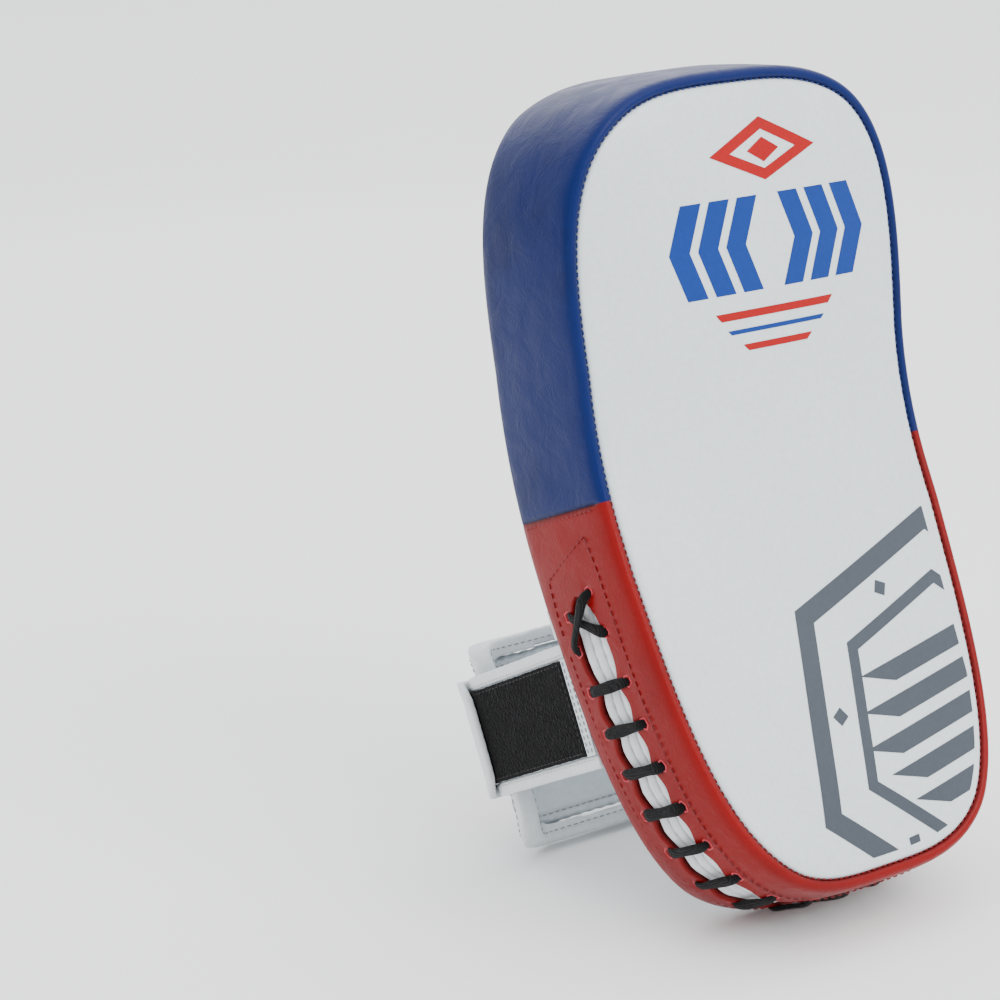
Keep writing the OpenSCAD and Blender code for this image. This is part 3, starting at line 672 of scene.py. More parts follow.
def clip_poly(poly):
    """Keeps the part of a polygon that lies on the face, by its convex outline."""
    out = [tuple(p) for p in poly]
    idx = list(range(0, NST, 4))
    for i, j in zip(idx, idx[1:] + idx[:1]):
        a, b = CLIP[i], CLIP[j]
        e = b - a

        def inside(p):
            return e[0] * (p[1] - a[1]) - e[1] * (p[0] - a[0]) >= 0
        new = []
        for k in range(len(out)):
            p, q = out[k - 1], out[k]
            ip, iq = inside(p), inside(q)
            if ip != iq:
                dp = e[0] * (p[1] - a[1]) - e[1] * (p[0] - a[0])
                dq = e[0] * (q[1] - a[1]) - e[1] * (q[0] - a[0])
                u = dp / (dp - dq)
                new.append((p[0] + (q[0] - p[0]) * u, p[1] + (q[1] - p[1]) * u))
            if iq:
                new.append(q)
        out = new
        if not out:
            return []
    return out


def flat_print(name, polys, mat, place, body="pad", edge=5.0):
    """A thin printed film: polygons in flat mm, cut fine enough to follow the leather."""
    bm = bmesh.new()
    for poly in polys:
        if len(poly) < 3:
            continue
        vs = [bm.verts.new((p[0], p[1], 0)) for p in poly]
        for tri in tessellate_polygon([[Vector((p[0], p[1], 0)) for p in poly]]):
            try:
                bm.faces.new([vs[i] for i in tri])
            except ValueError:
                pass
    bmesh.ops.remove_doubles(bm, verts=bm.verts, dist=0.01)
    for _ in range(7):
        long_ = [e for e in bm.edges if e.calc_length() > edge]
        if not long_:
            break
        bmesh.ops.subdivide_edges(bm, edges=long_, cuts=1)
        bmesh.ops.triangulate(bm, faces=[f for f in bm.faces if len(f.verts) > 3])
    bmesh.ops.recalc_face_normals(bm, faces=bm.faces)
    vs = [place(v.co.x, v.co.y) for v in bm.verts]
    bm.verts.index_update()
    fs = [[v.index for v in f.verts] for f in bm.faces]
    bm.free()
    return make(name, vs, fs, mat, body)


def band_poly(pts, inner):
    """Closed ring between an outline and the same outline scaled by inner, as separate quads."""
    c = np.mean(pts, 0)
    q = [tuple(c + (np.array(p) - c) * inner) for p in pts]
    return [[pts[i - 1], pts[i], q[i], q[i - 1]] for i in range(len(pts))]


def ngon_pts(cx, cy, r, n, turn=0.0):
    return [(cx + r * math.sin(turn + 2 * math.pi * i / n), cy + r * math.cos(turn + 2 * math.pi * i / n)) for i in range(n)]


def face_place(x, s):
    return face_pt(x, s, 0.16)


BX, BS = 13.0, 300.0
red, blue = [], []
for sx in (-1, 1):
    for i in range(3):
        x0 = BX + sx * (6 + 15.5 * i)
        blue.append([
            (x0, BS - 18), (x0 + sx * 11, BS - 18), (x0 + sx * 19, BS + 3), (x0 + sx * 11, BS + 24),
            (x0, BS + 24), (x0 + sx * 8, BS + 3)])
red += band_poly([(BX, BS + 58), (BX + 30, BS + 43), (BX, BS + 30), (BX - 30, BS + 43)], 0.62)
red.append([(BX, BS + 49), (BX + 9, BS + 43.5), (BX, BS + 38), (BX - 9, BS + 43.5)])
red.append([(BX - 34, BS - 26), (BX + 34, BS - 26), (BX + 31, BS - 29.5), (BX - 31, BS - 29.5)])
blue.append([(BX - 28, BS - 34), (BX + 28, BS - 34), (BX + 26, BS - 36), (BX - 26, BS - 36)])
red.append([(BX - 20, BS - 41), (BX + 20, BS - 41), (BX + 17, BS - 44), (BX - 17, BS - 44)])
flat_print("face_print_red", red, P_RED, face_place)
flat_print("face_print_blue", blue, P_BLUE, face_place)
EX, ES = 60.0, 62.0
grey = []
for r, inner in ((96, 0.885), (66, 0.90)):
    grey += band_poly(ngon_pts(EX, ES, r, 6, 0.18), inner)
ctr = np.array((EX, ES))
rot = np.array([[math.cos(0.18), -math.sin(0.18)], [math.sin(0.18), math.cos(0.18)]])
for i in range(-2, 3):
    w = 48 - 7 * abs(i)
    bar = [(-w + 9, i * 15 - 4.6), (w + 9, i * 15 - 4.6), (w - 9, i * 15 + 4.6), (-w - 9, i * 15 + 4.6)]
    grey.append([tuple(ctr + rot @ np.array(p)) for p in bar])
for k in range(6):
    a = 0.18 + math.pi / 6 + k * math.pi / 3
    c = ctr + np.array((math.sin(a), math.cos(a))) * 66.5
    grey.append([tuple(c + 4.2 * np.array((
        math.sin(a + j * math.pi / 2), math.cos(a + j * math.pi / 2)))) for j in range(4)])
grey = [clip_poly(p) for p in grey]
flat_print("face_print_grey", [p for p in grey if len(p) > 2], P_GREY, face_place)


# ---- back panels
def seam_x(k, s):
    s = np.asarray(s, float)
    lo = (50 - 8 * s / 175, 66 - 4 * s / 175)[k]
    mid = (42.0, 62.0)[k]
    hi = (42 + 4 * (s - S1) / 125, 62 + 3 * (s - S1) / 125)[k]
    return np.where(s < S0, lo, np.where(s < S1, mid, hi))


def edge_drop(d):
    u = np.clip(d / 7.5, 0, 1)
    return 2.6 * (1 - np.sqrt(np.maximum(0, 1 - (1 - u) ** 2)))


OUT_X, OUT_S = rim_at(-2.55)


def back_height(x, s):
    w = back_w(x, s)
    d = np.sqrt((OUT_X[None, :] - np.asarray(x).ravel()[:, None]) ** 2 + (OUT_S[None, :] - np.asarray(s).ravel()[:, None]) ** 2).min(1).reshape(np.shape(x))
    dip = np.zeros_like(w)
    for k in (0, 1):
        dx = np.abs(np.abs(x) - seam_x(k, s))
        dip += 1.5 * np.exp(-(dx / 2.3) ** 2)
    return w + 0.5 - edge_drop(d) - dip, d, dip


def back_panels():
    half = len(t)
    rs, rx = OUT_S[:half], OUT_X[:half]
    rx = np.maximum(rx, 0)
    order = np.argsort(rs)
    rs, rx = rs[order], rx[order]
    keep = [0]
    for i in range(1, len(rs)):
        if rs[i] - rs[keep[-1]] > 0.25 or i == len(rs) - 1:
            keep.append(i)
    rs, rx = rs[keep], rx[keep]
    c1, c2 = seam_x(0, rs), seam_x(1, rs)
    strips = {
        "back_centre": ([
            -1, -0.985, -0.96, -0.92, -0.86, -0.76, -0.6, -0.4, -0.2, 0, 0.2, 0.4, 0.6, 0.76, 0.86, 0.92,
            0.96, 0.985, 1], None),
        "stripe": ([0, 0.04, 0.1, 0.2, 0.35, 0.5, 0.65, 0.8, 0.9, 0.96, 1], 1),
        "side": ([0, 0.03, 0.08, 0.16, 0.28, 0.42, 0.56, 0.7, 0.8, 0.88, 0.94, 0.975, 1], 2),
    }
    for key, (fr, kind) in strips.items():
        for side in ((1,) if kind is None else (1, -1)):
            cols = []
            for q in fr:
                if kind is None:
                    x = np.clip(q * c1, -rx, rx)
                elif kind == 1:
                    x = side * np.minimum(c1 + (c2 - c1) * q, rx)
                else:
                    x = side * (np.minimum(c2, rx) + (rx - np.minimum(c2, rx)) * q)
                cols.append(x)
            xs = np.stack(cols, 1)
            ss = np.repeat(rs[:, None], len(fr), 1)
            w, d, dip = back_height(xs, ss)
            P = pad(xs, w, ss).reshape(-1, 3)
            calm = np.clip((d.ravel() - 3) / 8, 0, 1)
            w = w + (calm * (0.45 * seed_noise(P, 15, 9.1) + 0.25 * seed_noise(P, 48, 2.2))).reshape(w.shape)
            P = pad(xs, w, ss).reshape(-1, 3)
            nm = key if kind is None else key + ("_right" if side > 0 else "_left")
            cad = nm if kind is None else ("stripe_" if kind == 1 else "side_panel_") + ("right" if side > 0 else "left")
            # Painted shade in the dips along the stripe seams
            o = make(nm + "_skin", P, grid(len(rs), len(fr), flip=(side > 0)), M_BLUE if kind == 1 else M_WHITE,
                     seam=np.clip(dip.ravel() / 1.5, 0, 1) ** 2 * 0.6, merge=2e-6)
            smooth_once(o)
            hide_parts(cad)
    for side, nm in ((1, "right"), (-1, "left")):
        parts, rows = [], []
        for k in (0, 1):
            ss = np.linspace(2.0, 378.0, 260)
            x = seam_x(k, ss)
            lim = np.interp(ss, rs, rx)
            ok = x < lim - 1.0
            ss, x = ss[ok], side * x[ok]
            w, _, _ = back_height(x, ss)
            w = np.maximum(w, back_w(x, ss) - 1.0)
            p, q = pad(x, w + 0.75, ss), pad(x, w + 1.75, ss)
            up = unit(q - p)
            tg = unit(np.gradient(p, axis=0))
            sd = unit(np.cross(tg, up))
            parts.append(tube(p, sd, up, 1.25 + 0.1 * np.sin(ss * 1.9), 1.15, 10))
            xx = side * (np.abs(x) + (2.9 if k else -2.9))
            w2, _, _ = back_height(xx, ss)
            p2, q2 = pad(xx, w2, ss), pad(xx, w2 + 1, ss)
            rows.append((p2, unit(q2 - p2)))
        v, f = join_parts(parts)
        o = make("stripe_cord_" + nm, v, f, M_TRIM)
        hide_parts("stripe_piping_" + nm)
        stitches("stripe_stitching_" + nm, rows, T_GREY, pitch=3.6, length=2.5, r=0.3, lift=0.12)


back_panels()


# ---- slot lining and lace
def lining():
    half = arc_of_s(163)
    idx = [i for i in range(NST) if HARC[i] <= half]
    order = [i for i in idx if i >= len(t)] + [i for i in idx if i < len(t)]
    prof = []
    for w in np.linspace(-9.5, 17.5, 55):
        h = -3.7
        for c in (-3.3, 4.0, 11.3):
            u = abs(w - c) / 3.75
            if u < 1:
                h = max(h, -3.7 + 4.2 * math.sqrt(1 - u * u))
        # Third value: painted shade in the grooves between the three folds
        gr = min(abs(w - 0.35), abs(w - 7.65), abs(w + 7.0), abs(w - 15.0))
        prof.append((w, h, math.exp(-(gr / 0.55) ** 2)))
    V, Q = [], []
    for i in order:
        pinch = NEAR[i]
        taper = 1 if HARC[i] < half - 30 else 0.55 + 0.45 * (half - HARC[i]) / 30
        row = []
        for w, h, g in prof:
            n = -3.7 + (h + 3.7) * (1 - 0.15 * pinch) * taper - 0.5 * pinch
            n += 0.18 * math.sin(HARC[i] * 0.9 + w) * math.exp(-((w - 4) / 9) ** 2)
            ww = 4 + (w - 4) * (1 - 0.10 * pinch)
            row.append(pad(X[i] + NRM[i, 0] * n, ww, S[i] + NRM[i, 1] * n))
            Q.append(g)
        V += row
    o = make("slot_lining_folds", np.array(V), grid(len(order), len(prof)), M_LINING, seam=Q)
    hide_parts("slot_lining")
    return o


lining()


def lace_run(a0, w0, a1, w1, side, top=2.7, wide=2.75, seed=0.0):
    """One outside run of the lace between two holes, given as (arc, w)."""
    n = 26
    u = np.linspace(0, 1, n)
    sm = u * u * (3 - 2 * u)
    ar, w = a0 + (a1 - a0) * sm, w0 + (w1 - w0) * (0.5 - 0.5 * np.cos(np.pi * (0.04 + 0.92 * u)))
    lift = top - (top + 2.6) * np.abs(2 * u - 1) ** 5 + 0.25 * np.sin(7 * u + seed)
    p = np.array([on_gusset(ar[i], w[i], side, lift[i])[0] for i in range(n)])
    up = np.array([on_gusset(ar[i], w[i], side, lift[i])[1] for i in range(n)])
    tg = unit(np.gradient(p, axis=0))
    sd = unit(np.cross(tg, up))
    up = unit(np.cross(sd, tg))
    tw = 0.35 * np.sin(3.1 * u + seed * 1.7)
    s2 = sd * np.cos(tw)[:, None] + up * np.sin(tw)[:, None]
    u2 = up * np.cos(tw)[:, None] - sd * np.sin(tw)[:, None]
    ends = 1 - 0.42 * np.abs(2 * u - 1) ** 6
    a = wide * ends * (1 + 0.10 * np.sin(11 * u + seed))
    b = 1.15 * (1 + 0.18 * np.sin(9 * u + seed * 2.3))
    return tube(p, s2, u2, a, b, 14)


parts = []
for side in (1, -1):
    for i, a in enumerate(LACE_ARC):
        parts.append(lace_run(a, -12.7, a + 0.3, 18.7, side, seed=i * 1.3 + side))
    A = arc_of_s
    parts.append(lace_run(A(138), -9.5, A(150), 15.8, side, top=2.2, seed=0.4 * side))
    parts.append(lace_run(A(157), -6.9, A(134), 17.3, side, top=4.6, seed=2.4 * side))
v, f = join_parts(parts)
o = make("lacing", v, f, M_LACE)
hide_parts("lace")
parts = []
for side in (1, -1):
    holes = [(a, w) for a in LACE_ARC for w in (-12.6, 18.6)] + [
        (arc_of_s(157), -6.7), (arc_of_s(134), 17.2), (arc_of_s(138), -9.2), (arc_of_s(150), 15.7)]
    for a, w in holes:
        th = np.linspace(0, 2 * math.pi, 19)
        rad = 2.55 + 0.25 * np.sin(5 * th + a)
        p = np.array([
            on_gusset(a + r * math.cos(q), w + r * math.sin(q), side, 0.95 + 0.15 * math.sin(3 * q))[0] for q,
            r in zip(th, rad)])
        c, up = on_gusset(a, w, side, 0.95)
        up = np.tile(up, (19, 1))
        sd = unit(p - c)
        parts.append(tube(p, sd, up, 0.5, 0.42, 8, caps=False))
v, f = join_parts(parts)
make("lace_hole_puckers", v, f, leather("pucker_red", (0.42, 0.03, 0.045), 0.5), merge=1e-6)


# ---- strap side: soft pieces from their CAD solids
def arrays(me):
    co = np.empty(len(me.vertices) * 3)
    me.vertices.foreach_get("co", co)
    nr = np.empty(len(me.vertices) * 3)
    me.vertex_normals.foreach_get("vector", nr)
    return co.reshape(-1, 3), nr.reshape(-1, 3)


def applied(o):
    dg = bpy.context.evaluated_depsgraph_get()
    me = bpy.data.meshes.new_from_object(o.evaluated_get(dg))
    o.modifiers.clear()
    o.data = me
    return o


def cloth_puff(o, pressure=4.0, cap=2.5, frames=20):
    """Swells a closed padded piece by a short cloth simulation, and keeps each point near where it was."""
    start, _ = arrays(o.data)
    c = o.modifiers.new("cloth", "CLOTH")
    st = c.settings
    st.quality = 6
    st.mass = 0.2
    st.use_pressure = True
    st.uniform_pressure_force = pressure
    st.tension_stiffness = st.compression_stiffness = 25
    st.shear_stiffness = 12
    st.bending_stiffness = 1.5
    st.effector_weights.gravity = 0
    c.collision_settings.use_collision = False
    c.point_cache.frame_start, c.point_cache.frame_end = 1, frames
    sc = bpy.context.scene
    for fr in range(1, frames + 1):
        sc.frame_set(fr)
    dg = bpy.context.evaluated_depsgraph_get()
    me = bpy.data.meshes.new_from_object(o.evaluated_get(dg))
    end, _ = arrays(me)
    o.modifiers.clear()
    sc.frame_set(1)
    d = end - start
    d -= d.mean(0)
    ln = np.linalg.norm(d, axis=1, keepdims=True)
    d *= np.minimum(1, cap / 1000 / np.maximum(ln, 1e-9))
    o.data.vertices.foreach_set("co", (start + d).ravel())
    o.data.update()
    return o


def soften(
    cad, name, mat, body="pad", voxel=1.0, iters=8, levels=0, wrinkle=((0.22, 28), (0.12, 90)),
    shape=None, puff=None):
    me = NODES[cad].data.copy()
    bm = bmesh.new()
    bm.from_mesh(me)
    bmesh.ops.remove_doubles(bm, verts=bm.verts, dist=2e-6)
    bm.to_mesh(me)
    bm.free()
    o = bpy.data.objects.new(name, me)
    bpy.context.scene.collection.objects.link(o)
    r = o.modifiers.new("remesh", "REMESH")
    r.mode, r.voxel_size = "VOXEL", voxel / 1000
    if iters:
        sm = o.modifiers.new("soft", "SMOOTH")
        sm.factor, sm.iterations = 0.5, iters
    applied(o)
    if puff:
        cloth_puff(o, *puff)
    if levels:
        s = o.modifiers.new("sub", "SUBSURF")
        s.levels = s.render_levels = levels
        applied(o)
    co, nr = arrays(o.data)
    x, y, z = unworld(co)
    l, k = unarch(x, y)
    # The shape function gives a displacement and a per-point weight of painted shade in channels and seams
    disp, seam = np.zeros(len(co)), np.zeros(len(co))
    if shape:
        disp, seam = shape(x, y, z, l, k, nr)
    for amp, sc in wrinkle:
        disp = disp + amp * seed_noise(co, sc, sc)
    co = co + nr * disp[:, None] / 1000
    o.data.vertices.foreach_set("co", co.ravel())
    a = o.data.attributes.get("seam") or o.data.attributes.new("seam", "FLOAT", "POINT")
    a.data.foreach_set("value", np.clip(seam, 0, 1).astype(np.float32))
    o.data.materials.clear()
    o.data.materials.append(mat)
    o.data.polygons.foreach_set("use_smooth", [True] * len(o.data.polygons))
    o.data.update()
    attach(o, body)
    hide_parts(cad)
    return o


def over(o, lz, lift=0.0, out=1, step=1.2, k0=0.0):
    """Paths on a strap-side piece along flat (l, z) points, split where there is nothing under them."""
    tree = bvh(o)
    q = resample(lz, step)
    segs, cur = [], []
    for l, z in q:
        p = Vector(strap(l, z, k0))
        n = (Vector(strap(l, z, k0 + 1)) - p).normalized() * out
        hit = tree.ray_cast(p + n * 0.014, -n, 0.03)
        if hit[0] is None or hit[1].dot(n) < 0.25:
            if len(cur) > 4:
                segs.append(cur)
            cur = []
        else:
            cur.append((hit[0] + n * lift / 1000, hit[1]))
    if len(cur) > 4:
        segs.append(cur)
    return [(np.array([c[0] for c in s]), np.array([c[1] for c in s])) for s in segs]


def round_rect(l0, l1, z0, z1, r):
    """(l, z) path: along one edge, round the free end at l0, and back along the other edge."""
    pts = [(l1, z0)]
    pts += [(l0 + r - r * math.sin(a), z0 + r - r * math.cos(a)) for a in np.linspace(0, math.pi / 2, 10)]
    pts += [(l0 + r - r * math.cos(a), z1 - r + r * math.sin(a)) for a in np.linspace(0, math.pi / 2, 10)]
    pts += [(l1, z1)]
    return pts


def edge_sd(l, z, l0, z0, z1, r):
    zc, hz = (z0 + z1) / 2, (z1 - z0) / 2
    qx, qz = (l0 + r) - l, np.abs(z - zc) - (hz - r)
    flat = np.minimum(l - l0, hz - np.abs(z - zc))
    return np.where((qx > 0) & (qz > 0), r - np.hypot(qx, qz), flat)


# forearm cuff
def cuff_shape(x, y, z, l, k, nr):
    d = edge_sd(l, z, 96, 61, 149, 14)
    ch = np.exp(-((d - 6.0) / 1.5) ** 2)
    disp = -1.15 * ch + 0.35 * np.sin(l * 0.95 + 2 * np.sin(z * 0.2)) * np.exp(-((d - 3.0) / 2.2) ** 2)
    outer = k > -4
    disp = np.where(outer & ((x > 0) | ((z > 78) & (z < 144))), np.minimum(disp, 0), disp)
    # ch * 0.45 is painted shade in the stitched channel
    return disp, ch * 0.45


cuff = soften(
    "cuff_pad", "cuff_cushion", M_WHITE, voxel=4.4, iters=1, levels=2, puff=(4.0, 1.2),
    shape=cuff_shape, wrinkle=((0.28, 22), (0.15, 75)))


def ripple(amp, period):
    def f(x, y, z, l, k, nr):
        ph = l + z
        return amp * np.sin(ph * 2 * math.pi / period + 1.5 * np.sin(ph * 0.21)), np.zeros(len(x))
    return f


cuff_edge = soften(
    "cuff_piping", "cuff_binding", M_TRIM, voxel=1.25, iters=14, shape=ripple(0.10, 5.2),
    wrinkle=((0.2, 30), (0.12, 110)))
rows = []
for o, out, l0, z0, z1, r in ((cuff, 1, 102, 67, 143, 10), (cuff, -1, 102, 67, 143, 10)):
    rows += over(o, round_rect(l0, ARCH_L - 4, z0, z1, r), out=out, k0=-5.4)
for out in (1, -1):
    rows += over(cuff_edge, round_rect(93.6, ARCH_L - 4, 58.6, 151.4, 17), out=out, k0=-5.4)
stitches("cuff_stitching", rows, T_GREY, pitch=3.9, length=2.7, r=0.3, lift=0.1)


# strap, loop patch, tail
soften("strap_band", "strap_leather", M_WHITE, voxel=0.95, iters=4, wrinkle=((0.10, 40),))
bind = soften(
    "strap_binding", "strap_edge_binding", M_TRIM, voxel=0.9, iters=9,
    shape=ripple(0.07, 4.6), wrinkle=((0.12, 45), (0.08, 130)))
rows = []
for z in (86.3, 135.7):
    rows += over(bind, [(3, z), (lx(-40), z)], k0=2)
    rows += over(bind, [(3, z), (lx(22), z)], out=-1, k0=2)
stitches("strap_edge_stitching", rows, T_WHITE, pitch=3.5, length=2.5, r=0.3, lift=0.08)
root = soften(
    "root_strip", "strap_root_strip", M_WHITE, voxel=0.36, iters=3,
    wrinkle=((0.05, 60),))
stitches(
    "strap_root_stitching",
    over(root, [(3.0, 89), (3.0, 133)], k0=3.5) + over(root, [(6.3, 89), (6.3, 133)], k0=3.5), T_GREY,
    pitch=3.0, length=2.1, r=0.36, lift=0.08)
soften("seam_tab", "edge_tab", M_TRIM, voxel=0.45, iters=5, wrinkle=((0.08, 90),))


def fuzz_shape(x, y, z, l, k, nr):
    return 0.22 * np.array([
        noise.noise(Vector((a * 0.9, b * 0.9, c * 0.9))) for a, b, c in zip(x, y, z)]), np.zeros(len(x))


loop = soften(
    "loop_patch", "loop_fastening", M_LOOP, voxel=0.75, iters=3, shape=fuzz_shape,
    wrinkle=((0.10, 60),))
soften(
    "hook_patch", "hook_fastening", M_LOOP, body="tail", voxel=0.6, iters=2,
    shape=fuzz_shape, wrinkle=((0.05, 60),))


def fibres(name, l0, l1, z0, z1, k, count, body, seed):
    rng = np.random.default_rng(seed)
    vs, fs = [], []
    for i in range(count):
        l, z = rng.uniform(l0, l1), rng.uniform(z0, z1)
        a, ln = rng.uniform(0, 2 * math.pi), rng.uniform(0.5, 1.3)
        dl, dz = math.cos(a) * ln, math.sin(a) * ln
        h = rng.uniform(0.25, 0.6)
        wl, wz = -math.sin(a) * 0.05, math.cos(a) * 0.05
        b = len(vs)
        for u, hh in ((0, -0.1), (0.35, h), (0.7, h * 0.9), (1, -0.1)):
            for sg in (-1, 1):
                vs.append(strap(l + dl * u + sg * wl, z + dz * u + sg * wz, k + hh))
        fs += [(b + 2 * j, b + 2 * j + 1, b + 2 * j + 3, b + 2 * j + 2) for j in range(3)]
    return make(name, vs, fs, M_LOOP, body)


fibres("loop_fibres", 9.2, lx(-40), 89, 133, 4.2, 5200, "pad", 11)
stitches(
    "loop_patch_stitching", over(loop, round_rect(10.2, lx(-39), 90.2, 131.8, 1.2), k0=4), T_BLACK,
    pitch=3.3, length=2.3, r=0.25, lift=0.1)


tail = soften(
    "strap_tail", "tail_leather", M_WHITE, body="tail", voxel=0.95, iters=4,
    wrinkle=((0.12, 35),))
tail_edge = soften(
    "tail_binding", "tail_edge_binding", M_TRIM, body="tail", voxel=0.9, iters=8,
    shape=ripple(0.06, 4.8), wrinkle=((0.12, 45), (0.08, 130)))
stitches(
    "tail_stitching", over(tail_edge, round_rect(101.5, lx(24), 86.0, 136.0, 8), k0=8), T_WHITE,
    body="tail", pitch=3.6, length=2.6, r=0.3, lift=0.08)
TAIL_TREE = bvh(tail)


def tail_place(l, z):
    p = Vector(strap(l, z, 8))
    n = (Vector(strap(l, z, 9)) - p).normalized()
    hit = TAIL_TREE.ray_cast(p + n * 0.012, -n, 0.03)
    return (hit[0] if hit[0] is not None else p) + n * 0.00014


T0 = lx(-66)
polys = [[(T0, 93), (T0 + 26, 93), (T0 + 26, 129), (T0, 129)]]
for i in range(4):
    a = T0 + 31 + i * 13
    polys.append([(a, 118), (a + 6, 118), (a + 10, 106), (a + 4, 106)])
    polys.append([(a + 6.0, 104), (a + 10.5, 104), (a + 13.0, 96.5), (a + 8.5, 96.5)])
flat_print("tail_print", polys, P_RED, tail_place, body="tail", edge=4.0)
polys = [[(T0 + 13, 97), (T0 + 21, 111), (T0 + 13, 125), (T0 + 5, 111)]]
flat_print(
    "tail_print_inner", polys, M_WHITE, lambda l,
    z: tail_place(l, z) + (Vector(strap(l, z, 9)) - Vector(strap(l, z, 8))).normalized() * 0.00012,
    body="tail", edge=4.0)


# keeper, base flap, wing, slot frame
keeper = soften("keeper", "strap_keeper", M_WHITE, voxel=0.6, iters=4, wrinkle=((0.06, 60),))
rows = []
for x in (-31.6, -18.4):
    rows += over(keeper, [(lx(x), 66), (lx(x), 78)], k0=1) + over(
        keeper, [(lx(x), 82), (lx(x), 139.5)], k0=4) + over(keeper, [(lx(x), 143), (lx(x), 148)], k0=1)
stitches("keeper_stitching", rows, T_GREY, pitch=3.2, length=2.2, r=0.27, lift=0.06)


def flap_shape(x, y, z, l, k, nr):
    d = np.minimum(z - 65.5, 153.0 - z)
    ch = np.exp(-((d - 3.2) / 1.2) ** 2)
    # ch * 0.3 is painted shade in the stitched channel
    return -0.45 * ch, ch * 0.3


flap = soften(
    "base_flap", "base_flap_leather", M_WHITE, voxel=1.0, iters=4, shape=flap_shape,
    wrinkle=((0.25, 24), (0.10, 80)))
soften(
    "flap_piping", "flap_edge_binding", M_TRIM, voxel=0.9, iters=8,
    shape=ripple(0.07, 4.8), wrinkle=((0.12, 45),))
F0 = ARCH_L
rows = over(flap, [(F0 - 5, 68.5), (F0 - 62, 69.0)], k0=2) + over(
    flap, [(F0 - 5, 149.8), (F0 - 62, 149.3)], k0=2)
rows += over(flap, [(F0 - 4, 80), (F0 - 4, 140)], k0=2) + over(flap, [(F0 - 9, 80), (F0 - 9, 140)], k0=2)
rows += over(
    flap, [(F0 - 10, 82), (F0 - 24, 82), (F0 - 24, 138), (F0 - 10, 138), (F0 - 10, 82), (F0 - 24, 138)],
    k0=2)
rows += over(flap, [(F0 - 10, 138), (F0 - 24, 82)], k0=2)
stitches("flap_stitching", rows, T_GREY, pitch=3.8, length=2.7, r=0.3, lift=0.08)
tri = soften(
    "triangle_patch", "rivet_patch", M_WHITE, voxel=0.5, iters=4, wrinkle=((0.06, 60),))
rows = []
for q in (3.0, 6.2):
    a, b, c = (F0 - 62 + q * 1.0, 111 - 31 + q * 2.15), (F0 - 62 + q * 1.0, 111 + 31 - q * 2.15), (F0 - 28 - q * 1.25, 111)
    rows += over(tri, [a, b, c, a], k0=4.5)
stitches("rivet_patch_stitching", rows, T_GREY, pitch=3.2, length=2.2, r=0.3, lift=0.06)


def wing_shape(x, y, z, l, k, nr):
    d1 = np.minimum(z - 64.3, 158 - z)
    top = l < ARCH_L - WALL - ARC
    d = np.where(top, edge_sd(x, z, 17, 64.3, 158, 23), d1)
    ch = np.exp(-((d - 5.5) / 1.5) ** 2) * (k > 6)
    pk = 0.30 * np.sin((l + z) * 1.05 + 2 * np.sin(z * 0.13)) * np.exp(-((d - 1.5) / 2.4) ** 2)
    disp = -0.9 * ch + pk
    # ch * 0.4 is painted shade in the stitched channel
    return np.where(k < 5.5, np.minimum(disp, 0), disp), ch * 0.4


wing = soften(
    "wing_pad", "wing_cushion", M_WHITE, voxel=2.4, iters=2, levels=1, puff=(3.0, 0.7),
    shape=wing_shape, wrinkle=((0.28, 24), (0.15, 75)))
soften(
    "wing_piping", "wing_edge_binding", M_TRIM, voxel=0.95, iters=9,
    shape=ripple(0.22, 4.2), wrinkle=((0.15, 50), (0.1, 130)))


def wing_path(off, x_end_l):
    z0, z1, r = 64.3 + off, 158 - off, max(23 - off, 6)
    x0 = 17 + off
    pts = [(x_end_l, z0)]
    pts += [(lx(x0 + r - r * math.sin(a)), z0 + r - r * math.cos(a)) for a in np.linspace(0, math.pi / 2, 12)]
    pts += [(lx(x0 + r - r * math.cos(a)), z1 - r + r * math.sin(a)) for a in np.linspace(0, math.pi / 2, 12)]
    pts += [(x_end_l, z1)]
    return pts


rows = over(wing, wing_path(5.5, ARCH_L - 84), k0=7)
rows += over(wing, [(ARCH_L - 70, 70), (ARCH_L - 70, 152)], k0=7) + over(
    wing, [(ARCH_L - 66.5, 72), (ARCH_L - 66.5, 150)], k0=7)
stitches("wing_stitching", rows, T_GREY, pitch=3.9, length=2.8, r=0.31, lift=0.08)


def rim_shape(x, y, z, l, k, nr):
    up = np.clip(nr @ np.array([0, math.cos(LEAN), -math.sin(LEAN)]), 0, 1)
    inx = np.minimum(np.minimum(x - 18, 46 - x), np.minimum(z - 62, 160 - z))
    slot_d = np.maximum(np.maximum(26 - x, x - 38.5), np.maximum(72 - z, z - 150))
    e = np.clip(np.minimum(inx, slot_d) / 3.0, 0, 1)
    return up * (0.9 * np.sqrt(e) - 0.25), 0 * x


rimp = soften(
    "slot_rim", "slot_frame", M_WHITE, voxel=0.7, iters=4, shape=rim_shape,
    wrinkle=((0.12, 40),))
rows = []
for x0, x1, z0, z1 in ((20.3, 43.7, 64.4, 157.6), (23.6, 41.0, 69.4, 152.6)):
    rows += over(rimp, [(lx(x0), z0), (lx(x1), z0), (lx(x1), z1), (lx(x0), z1), (lx(x0), z0)], k0=9)
stitches("slot_frame_stitching", rows, T_BLACK, pitch=3.9, length=2.7, r=0.3, lift=0.06)


# ---- hand grip
GRIP_A = (240 - S0) / RB


def grip_frame(x, y, z):
    """Grip-plane point (x, height over the mid surface, along the pad) to the world."""
    x, y, z = np.broadcast_arrays(np.asarray(x, float), np.asarray(y, float), np.asarray(z, float))
    c, s = math.cos(GRIP_A), math.sin(GRIP_A)
    return world(x, -RB + (RB + y) * c - z * s, S0 + (RB + y) * s + z * c)


def grip_shape(x, y, z, l, k, nr):
    return np.sin(x * 0.9) * 0.15, np.zeros(len(x))


